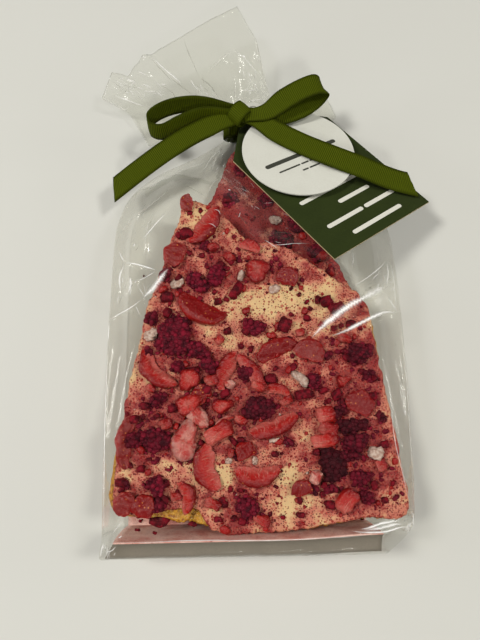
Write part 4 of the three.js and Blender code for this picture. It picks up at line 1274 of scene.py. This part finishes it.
def berryBody(length, width, height, seed):
    # a squashed thimble: blunt at one end, narrower at the other
    rows, turns = 13, 26
    u = np.linspace(0, math.pi, rows)[1:-1]
    angle = anglesRound(turns)
    points = []
    for a in u:
        x = -math.cos(a)
        radius = math.sin(a) ** 0.75 * (1 - 0.22 * x)
        points.append(np.c_[np.full(turns, x * length / 2), radius * np.cos(angle) * width / 2,
                            radius * np.sin(angle) * height / 2])
    points = np.vstack(points + [[[-length / 2, 0, 0]], [[length / 2, 0, 0]]])
    points = points * (1 + 0.13 * ripples(points, 8, seed)[:, None])
    points = points + 0.5 * dents(points, 4, range(seed + 1, seed + 4))
    return points, closedFaces(len(u), turns)


def makeRaspberries():
    look = {"Spacing": 0.0019, "Smallest": 0.001, "Largest": 0.0019, "Seed": 3, "Skin": raspberry}
    # how far the seeds stand out of a body, and the highest that a berry may reach
    grown, frontRoof, underFilm, rearRoof = 1.1, 39.9, 14, 16.5
    shapes, shades = [], []
    for key, rows, seed in (("front", raspberries, 300), ("rear", rearRaspberries, 340)):
        for i, (x, y, length, width, height, heading, shade) in enumerate(rows):
            points, faces = berryBody(length - 2 * grown, width - 2 * grown, height - grown, seed + i)
            roof = frontRoof if key == "front" else max(float(edgeOf["crown"](y)) - underFilm, rearRoof)
            shapes.append((settle(points, slabs[key], x, y, heading, sink=1.0, ceiling=roof), faces))
            shades.append(shade)
    piece = pile("raspberries", shapes, raspberry, {"shade": shades})
    runTree(piece, drupeletTree(), look)
    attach(piece, body)


makeRaspberries()
print("raspberries made")

# Dark dice on the front slab: (x, y, length, width, height, heading)
dice = [
    (-38, 156, 7, 6.7, 5, 20), (-11, 123, 11, 4.8, 5, 55), (-47, 120, 7, 5.4, 4.5, 10),
    (-47, 112, 6, 5.3, 4.5, 60), (15, 105, 8, 6.3, 5, 70), (37, 118, 7, 5.9, 4.5, 15),
    (43, 115, 9, 6.4, 5, 30), (33, 119, 5, 3.2, 4, 80), (24, 69, 11, 5.1, 5, 5), (41, 69, 6, 5.1, 4.5, 30),
    (-68, 25, 5, 4.4, 4, 10), (-46, 17, 5, 4.3, 4, -20), (16, 97, 6, 4.7, 4, 0), (-5, 102, 5, 4.2, 4, 40),
    (-20, 118, 4, 3.7, 3.5, 0), (-43, 139, 5, 4.4, 4, 20), (27, 109, 4, 3.7, 3, 0), (50, 106, 5, 3.7, 3, 0),
    (-15, 102, 4, 3.7, 3.5, 10), (59, 68, 5, 4.1, 4, 0), (64, 44, 4, 4.0, 4, 0), (30, 40, 4, 3.4, 3, 0),
    (36, 15, 6, 3.8, 4, 0), (-23, 49, 4, 3.5, 4, 0), (-62, 56, 5, 4.0, 4, 30), (-58, 32, 4, 3.9, 4, 0),
    (-8, 94, 4, 3.1, 3, 0), (19, 83, 5, 3.6, 3, 40), (7, 77, 7, 5.1, 4, 10), (-16, 69, 6, 4.6, 4, 40),
    (-26, 72, 6, 4.6, 4, 0), (-32, 81, 6, 4.6, 4, 0), (-57, 63, 5, 4.0, 4, 0), (-43, 62, 6, 4.0, 4, 20),
    (9, 39, 4, 3.0, 3, 10), (-16, 15, 4, 3.4, 3.5, 0), (-19, 8, 4, 2.9, 3, 0), (21, 10, 4, 2.9, 3, 0),
    (63, 17, 4, 2.9, 3, 0), (-8, 46, 4, 3.5, 3.5, 0),
]
# White sugar pieces: (x, y, length, width, height, heading)
sugars = [
    (-8, 132, 4.9, 3.3, 3.5, 80), (10, 125, 6.5, 4.3, 3, 10), (23, 77, 10.3, 5.1, 4.5, -48),
    (60, 40, 7.9, 6.9, 5, 10), (-55, 100, 7.4, 5.3, 3, 30), (-42, 128, 7.0, 6.5, 3, 20),
    (9, 46, 5.0, 2.5, 2.5, 10), (-1, 36, 3.9, 2.5, 2.5, 70), (-14, 36, 3.9, 2.5, 2, 20),
    (24, 178, 6, 5, 3.5, 30), (12, 172, 7, 5, 3, 0),
]


def scatterInside(outline, count, margin, rng):
    # count seeded places at least margin inside the outline
    ring = np.array(outline, float)
    found = []
    while len(found) < count:
        tries = rng.uniform(ring.min(0), ring.max(0), (count, 2))
        _, depth = distanceOutside(tries, outline)
        found += [tuple(p) for p in tries[depth > margin]]
    return found[:count]


def makeChunks(name, rows, material, seed, boxy, extra, rear, level=2, rough=0):
    # the rows' lumps, then smaller ones at seeded places: extra is (count on the front slab, smallest,
    # largest) and rear the count on the rear slab
    rng = np.random.default_rng(seed)
    shapes = []
    for i, (x, y, length, width, height, heading) in enumerate(rows):
        points, faces = chunkShape((length, width, height), boxy, seed + 3 * i, level)
        points = points + rough * dents(points, 1.5, range(seed + 3 * i + 11, seed + 3 * i + 14))
        onFront = y < 150 or distanceOutside(np.array([[x, y]]), frontOutline)[0][0] == 0
        key = "front" if onFront else "rear"
        placed = settle(points, slabs[key], x, y, heading, lean=rng.uniform(-12, 12), ceiling=roofOver[key])
        shapes.append((placed, faces))
    count, smallest, largest = extra
    places = [("front", p) for p in scatterInside(frontOutline, count, 1.5, rng)]
    places += [("rear", p) for p in scatterInside(rearOutline, rear, 5.0, rng)]
    for i, (key, (x, y)) in enumerate(places):
        size = smallest + (largest - smallest) * rng.uniform(0, 1) ** 2
        shape = size * rng.uniform(0.6, 1.0, 3) * (1.3, 1.0, 0.8)
        if key == "rear":
            shape = shape * 1.6
        roof = roofOver[key] if key == "front" else min(roofOver[key], float(edgeOf["crown"](y)) - 3)
        points, faces = chunkShape(shape, boxy, seed + 500 + i, 1 if size < 2.2 else 2)
        placed = settle(points, slabs[key], x, y, rng.uniform(0, 360), lean=rng.uniform(-20, 20), sink=0.4,
                        ceiling=roof)
        shapes.append((placed, faces))
    tones = [rng.uniform(0, 0.7) for _ in shapes]
    corners = sum(len(points) for points, _ in shapes)
    section = np.full((corners, 2), 0.7) if material is strawberry else None
    piece = pile(name, shapes, material, {"tone": tones}, section)
    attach(piece, body)


makeChunks("fruit_dice", dice, darkDice, 700, 0.55, (230, 1.2, 4.2), 70)
makeChunks("strawberry_bits", [], strawberry, 1700, 0.75, (210, 1.2, 4.6), 50)


def makeCrumble():
    # crushed raspberry lying thick in the red zones of the front slab
    look = {"perArea": 0.2, "smallest": 0.8, "largest": 3.0, "seed": 4100, "shapeSeed": 4200}
    rng = np.random.default_rng(look["seed"])
    shapes, tints, shades = [], [], []
    for x, y, across, along, amount in redZones:
        for _ in range(int(math.pi * across * along * amount * look["perArea"])):
            spot = np.array([[x, y]]) + rng.normal(size=(1, 2)) * (0.55 * across, 0.55 * along)
            if distanceOutside(spot, frontOutline)[1][0] < 1.2:
                continue
            size = look["smallest"] + (look["largest"] - look["smallest"]) * rng.uniform() ** 2
            shape = size * rng.uniform(0.6, 1.0, 3) * (1.3, 1.0, 0.75)
            points, faces = chunkShape(shape, 0.8, look["shapeSeed"] + len(shapes), 1 if size < 1.6 else 2)
            shapes.append((settle(points, slabs["front"], spot[0, 0], spot[0, 1], rng.uniform(0, 360),
                                  lean=rng.uniform(-20, 20), sink=0.3), faces))
            tints.append(rng.uniform())
            shades.append(rng.uniform(0, 0.25))
    piece = pile("berry_crumble", shapes, raspberry, {"tint": tints, "shade": shades})
    print("berry crumbs:", len(shapes))
    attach(piece, body)


makeCrumble()
makeChunks("sugar_pieces", sugars, sugarWhite, 2700, 0.8, (16, 1.0, 2.2), 0, 3, 0.3)


def makePowder():
    look = {"Density": 420000.0, "Smallest": 0.00016, "Largest": 0.00045, "Seed": 7, "Skin": berryDust}
    tree = grainTree()
    for key, top in chocolateTops.items():
        piece = bpy.data.objects.new(key + "_powder", top.data.copy())
        bpy.context.scene.collection.objects.link(piece)
        runTree(piece, tree, {**look, "Density": look["Density"] * (1 if key == "front" else 0.5)})
        print(piece.name, len(piece.data.polygons))
        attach(piece, body)


makePowder()


# Pieces that fell on the base card and the underside of the film
def makeCrumbs():
    look = {"seed": 61, "count": 60, "shapeSeed": 900, "floor": 0.9}
    rng = np.random.default_rng(look["seed"])
    rows = [(-48.8, 6.5, 30.5, 10, 5.5, 5), (-32, 5.6, 33, 5, 2.4, 2.5), (-58.5, 3.2, 36, 3, 1.8, 1.6),
            (-50, 1.9, 38, 2.6, 1.6, 1.4)]
    # many by the base card, then many along the whole bag: (reach across, reach along, widest, height)
    for across, along, widest, height in (((-66, 60), (2.2, 7), 2, 1.2), ((-70, 68), (10, 190), 2.2, 1.4)):
        rows += [(rng.uniform(*across), rng.uniform(*along), look["floor"], rng.uniform(1, 3),
                  rng.uniform(1, widest), height) for _ in range(look["count"])]
    shapes = []
    for i, (x, y, z, length, width, height) in enumerate(rows):
        level = 1 if length < 4 else 2
        points, faces = chunkShape((length, width, height), 0.75, look["shapeSeed"] + i, level)
        middle = z + height / 2 if z == look["floor"] else z
        shapes.append((points @ turned(rng.uniform(-12, 12)).T + (x, y, middle), faces))
    piece = pile("loose_crumbs", shapes, darkDice)
    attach(piece, body)


makeCrumbs()
print("toppings made")


# The ribbon: one 12 mm band tied round the neck, with ribs across it
ribbon = {"thick": 0.7, "step": 0.28, "pitch": 1.06, "depth": 0.17, "across": 7}


def bandShape(points, facing, widths, endCut=0, openEnds=False, curl=0.35):
    # a flat band swept along points, and each point's place along it and share of rib; facing is the
    # direction of its width, widths are at its ends and in its middle
    path, along = splineThrough(points, ribbon["step"])
    if openEnds:
        path, along = path[:-1], along[:-1]
        tangent = np.roll(path, -1, 0) - np.roll(path, 1, 0)
    else:
        tangent = np.gradient(path, axis=0)
    tangent, facing = unit(tangent), unit(np.array(facing, float))
    wide = unit(facing - tangent * (tangent @ facing)[:, None])
    thin = np.cross(tangent, wide)
    t = along / along[-1]
    ends = t if endCut else np.minimum(t, 1 - t)
    half = (widths[0] + (widths[1] - widths[0]) * smooth(ends / 0.25)) / 2
    across = np.linspace(-1, 1, ribbon["across"])
    section = [(w, 1) for w in across] + [(w, -1) for w in across[::-1]]
    rows, inner, reach = [], [], []
    for w, side in section:
        cut = -w * endCut * smooth((t - 0.9) / 0.1) if endCut else 0
        lift = side * ribbon["thick"] / 2 + curl * (1 - w * w)
        rows.append(path + wide * (w * half)[:, None] + thin * lift
                    + tangent * np.asarray(cut).reshape(-1, 1))
        inner.append(np.full(len(path), 1.0 if abs(w) < 0.97 else 0.25))
        reach.append(along + cut)
    count, columns = len(path), len(section)
    points = np.stack(rows, 1).reshape(-1, 3)
    faces = gridFaces(count, columns, closed=True)
    if openEnds:
        last = (count - 1) * columns
        faces += [(last + c, last + (c + 1) % columns, (c + 1) % columns, c) for c in range(columns)]
    else:
        faces += foldedEnds(count, columns)
    return points, faces, np.stack(reach, 1).ravel(), np.stack(inner, 1).ravel()


def ringPath(centre, flatAxis, wideReach, tallReach):
    # a closed oval standing up, its long way along flatAxis
    angle = np.linspace(0, 2 * math.pi, 29)
    axis = unit(np.array(flatAxis, float))
    up = np.array([0, 0, tallReach])
    return [tuple(np.array(centre) + axis * wideReach * math.cos(a) + up * math.sin(a)) for a in angle]


def makeRibbon():
    # the turn round the neck, the stem up to the knot and the strip that the tags hang on, then the left
    # and the right loop, the left and the right tail, and the knot
    bands = [
        bandShape(ringPath((neck["x"], 232.5, neck["z"]), (1, 0, 0), 9.95, 4.95), (0, 1, 0), (9, 9),
                  openEnds=True, curl=0.1),
        bandShape([(-14.8, 232.5, 12.6), (-14.2, 232.5, 19), (-11.5, 232.5, 27)], (0, 1, 0), (8, 8)),
        bandShape([(-6, 234, 28), (-3.4, 236.8, 26), (-0.2, 239.6, 21), (2, 240.4, 16), (3.2, 239.8, 12.7),
                   (2.9, 237, 10), (1.3, 234.5, 8.5)], (0.3, 1, 0), (2.6, 2.6), curl=0.0),
        bandShape([(-10, 234.5, 30), (-28.9, 238.2, 30), (-46.4, 236.9, 30), (-56.8, 232.3, 30),
                   (-61.3, 227.2, 30), (-60, 222.1, 30), (-54.1, 220.2, 30), (-43.3, 225.9, 30),
                   (-28.9, 231.8, 30), (-10, 232, 30)], (0, 0.24, 0.97), (7, 12)),
        bandShape([(-6, 229.6, 31.5), (6.5, 230.9, 33.5), (17.3, 237.4, 36.5), (28.6, 242.9, 38.5),
                   (36.3, 246.1, 37.5), (39.6, 246.4, 33.8), (37.2, 244, 30.2), (29.7, 238.2, 28.4),
                   (17.9, 233, 28), (4.4, 231, 28.6), (-6, 231.5, 29)], (0.45, -0.87, -0.18), (7, 12)),
        bandShape([(-9, 230.5, 28.5), (-20, 227.5, 28.6), (-31.8, 222, 28.6), (-47.2, 212.5, 28),
                   (-63, 202.1, 25), (-81.8, 188.4, 21)], (0.5, -0.84, -0.18), (8, 12), endCut=-4),
        bandShape([(-8, 231, 30), (0, 228.4, 30.5), (11.8, 220.4, 31), (26, 211.6, 32.6), (42.7, 202.6, 35.2),
                   (59.6, 196, 34.6), (76.6, 190.6, 31), (89.5, 187.6, 29.5)], (-0.37, -0.91, -0.19), (8, 12),
                  endCut=-5),
        bandShape(ringPath((neck["x"], 232, 29.5), (0.7, 0.7, 0), 5.6, 4.6), (0.7, -0.7, 0), (10, 10),
                  openEnds=True, curl=0.3),
    ]
    points, faces = joinShapes([(b[0], b[1]) for b in bands])
    piece = meshPiece("ribbon_bow", points, faces, [ribbonWeave], {
        "along": np.concatenate([b[2] for b in bands]), "inner": np.concatenate([b[3] for b in bands])})
    look = {"Pitch": ribbon["pitch"], "Depth": ribbon["depth"] / 1000, "Skin": ribbonWeave}
    runTree(piece, ribTree(), look)
    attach(piece, body)
    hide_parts("ribbon")


makeRibbon()
print("ribbon made")


# The two tags, each built flat in its own frame and then laid in place
def directionOf(heading, slope):
    # the way that points at heading, rising by slope, both in degrees
    h, s = math.radians(heading), math.radians(slope)
    return np.array([math.cos(s) * math.cos(h), math.cos(s) * math.sin(h), math.sin(s)])


def cardPlace(origin, edge, side):
    # a flat card's origin and its axes: one edge, the way up the card, and out of its face
    out = unit(np.cross(edge, side))
    return np.array(origin, float), np.stack([edge, unit(np.cross(out, edge)), out])


def laid(points, place):
    # flat points in a card's own frame, laid in its place
    origin, axes = place
    return np.asarray(points) @ axes + origin


def cardShape(outline, hole, thick):
    # a flat closed card with one hole; returns points, faces and which faces are its cut edge
    shape = bmesh.new()
    loops = []
    for ring in (outline, hole):
        corners = [shape.verts.new((x, y, thick / 2)) for x, y in ring]
        loops += [shape.edges.new(pair) for pair in zip(corners, corners[1:] + corners[:1])]
    bmesh.ops.triangle_fill(shape, edges=loops, use_beauty=True)
    made = bmesh.ops.extrude_face_region(shape, geom=list(shape.faces))
    lowered = [v for v in made["geom"] if isinstance(v, bmesh.types.BMVert)]
    bmesh.ops.translate(shape, verts=lowered, vec=(0, 0, -thick))
    bmesh.ops.recalc_face_normals(shape, faces=shape.faces)
    shape.verts.index_update()
    # the extrusion gives its faces in no fixed order, so they are sorted
    order = sorted(shape.faces, key=lambda face: sorted(v.index for v in face.verts))
    points = np.array([v.co for v in shape.verts])
    faces = [tuple(v.index for v in f.verts) for f in order]
    edges = [int(abs(f.normal.z) < 0.5) for f in order]
    shape.free()
    return points, faces, edges


def circle(x, y, radius, count=40, start=0.0, sweep=2 * math.pi):
    # points round a circle, or along an arc of it
    angle = start + sweep * np.arange(count) / count
    return [(x + radius * math.cos(a), y + radius * math.sin(a)) for a in angle]


def pill(x, y, length, tall, lift):
    # a small printed mark with round ends
    r = min(length, tall) / 2
    ring = []
    for right, up, start in ((1, 1, 0), (-1, 1, 90), (-1, -1, 180), (1, -1, 270)):
        cx, cy = x + right * (length / 2 - r), y + up * (tall / 2 - r)
        for a in (0, 30, 60, 90):
            turn = math.radians(start + a)
            ring.append((cx + r * math.cos(turn), cy + r * math.sin(turn), lift))
    return np.array(ring), [tuple(range(len(ring)))]


def printedLine(x, y, words, tall, lift, turn=0.0):
    # a row of plain round-ended bars where a line of print would stand; words are the bars' lengths
    gap = 0.55 * tall
    at = -(sum(words) + gap * (len(words) - 1)) / 2
    shapes = []
    for length in words:
        points, faces = pill(at + length / 2, 0, length, tall, lift)
        shapes.append((points @ turned(turn).T + (x, y, 0), faces))
        at += length + gap
    return shapes


def makeCardTag():
    size = {"width": 75.0, "length": 116.0, "clip": 30.0, "hole": 2.7, "inset": 8.0, "thick": 0.7}
    place = cardPlace((40.3, 137.4, 48), directionOf(35, -17), directionOf(129, -13))
    w, h, c = size["width"], size["length"], size["clip"]
    outline = [(0, 0), (w, 0), (w, h - c), (w - c, h), (c, h), (0, h - c)]
    points, faces, edges = cardShape(outline, circle(w / 2, h - size["inset"], size["hole"]), size["thick"])
    piece = meshPiece("card_tag", laid(points, place), faces, [greenCard, cardCore], faceMaterial=edges,
                      flat=True)
    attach(piece, body)
    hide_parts("tag_card")
    lift = size["thick"] / 2 + 0.05
    lines = []
    for x, y, words in ((37, 39, (24, 28)), (42, 28.5, (24,)), (38, 18, (27, 24)), (40, 7.5, (38,))):
        lines += printedLine(x, y, words, 2.6, lift)
    points, faces = joinShapes(lines)
    marks = meshPiece("card_tag_print", laid(points, place), faces, [whiteInk], flat=True)
    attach(marks, body)


def makeRoundTag():
    size = {"radius": 32.5, "ear": 5.7, "reach": 41.8, "hole": 2.7, "thick": 0.7}
    centre = np.array([25.1, 208.4, 29])
    out = directionOf(80, 73)
    toEar = np.array([1.1, 238.5, 21.2]) - centre
    toEar = unit(toEar - out * (toEar @ out))
    place = cardPlace(centre, np.cross(toEar, out), toEar)
    join = math.asin(size["ear"] / size["radius"])
    outline = circle(0, 0, size["radius"], 96, math.pi / 2 + join, 2 * math.pi - 2 * join)
    outline += circle(0, size["reach"], size["ear"], 18, 0, math.pi + math.pi / 18)
    points, faces, _ = cardShape(outline, circle(0, size["reach"], size["hole"]), size["thick"])
    piece = meshPiece("round_tag", laid(points, place), faces, [whiteCard], flat=True)
    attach(piece, body)
    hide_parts("tag_round")
    # the print runs across the tag, about parallel to the card tag's short edge
    lift = size["thick"] / 2 + 0.05
    axes = place[1]
    heading = directionOf(31, 0)
    turn = math.degrees(math.atan2(heading @ axes[1], heading @ axes[0]))
    a = math.radians(turn)
    lines = []
    for down, tall, words in ((2.5, 2.8, (24, 22)), (9, 1.1, (14, 5, 17)), (13.5, 1.1, (4, 7))):
        lines += printedLine(down * math.sin(a), -down * math.cos(a), words, tall, lift, turn)
    points, faces = joinShapes(lines)
    marks = meshPiece("round_tag_print", laid(points, place), faces, [darkInk], flat=True)
    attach(marks, body)


makeCardTag()
makeRoundTag()
print("tags made")


# The table, lights and camera
def makeStage():
    far = 1500
    corners = [(-far, -far, 0), (far, -far, 0), (far, far, 0), (-far, far, 0)]
    floor = meshPiece("table", corners, [(0, 1, 2, 3)], [tableTop], flat=True)


def addLight(name, place, aim, width, height, power, code):
    # a soft box of width and height, aimed from place
    light = bpy.data.lights.new(name, "AREA")
    light.shape = "RECTANGLE"
    light.size, light.size_y = width / 1000, height / 1000
    light.energy = power
    light.color = colour(code)[:3]
    lamp = bpy.data.objects.new(name, light)
    lamp.location = inRow(place)
    aimAt = Vector(inRow(aim)) - lamp.location
    lamp.rotation_euler = aimAt.to_track_quat("-Z", "Y").to_euler()
    bpy.context.scene.collection.objects.link(lamp)


def makeLights():
    middle = (0, 110, 20)
    addLight("key", (-900, 270, 1500), middle, 300, 300, 15.5, "#fffdf8")
    addLight("second", (850, 220, 1550), middle, 260, 260, 9.5, "#fffdf8")
    addLight("front", (150, -1150, 1400), middle, 260, 220, 7.0, "#fffdf8")
    addLight("left", (-1100, 100, 420), middle, 400, 400, 2.5, "#f8faff")
    addLight("right", (1100, 200, 420), middle, 400, 400, 2.0, "#fffdf8")
    world = bpy.data.worlds.new("room")
    world.use_nodes = True
    world.node_tree.nodes["Background"].inputs["Color"].default_value = colour("#e9e6e0")
    world.node_tree.nodes["Background"].inputs["Strength"].default_value = 0.16
    bpy.context.scene.world = world


def makeCamera():
    # nearly overhead: 12 degrees off straight down
    view = {"place": (-8.5, 45.5, 329.5), "tilt": 12.0, "lens": 32.06}
    camera = bpy.data.cameras.new("camera")
    camera.lens = view["lens"]
    camera.sensor_width = 36
    camera.clip_start = 0.01
    eye = bpy.data.objects.new("camera", camera)
    eye.location = inRow(view["place"])
    eye.rotation_euler = (math.radians(view["tilt"]), 0, 0)
    bpy.context.scene.collection.objects.link(eye)
    bpy.context.scene.camera = eye


bpy.context.scene.view_settings.view_transform = "Standard"
makeStage()
makeLights()
makeCamera()
print("stage, lights and camera made")
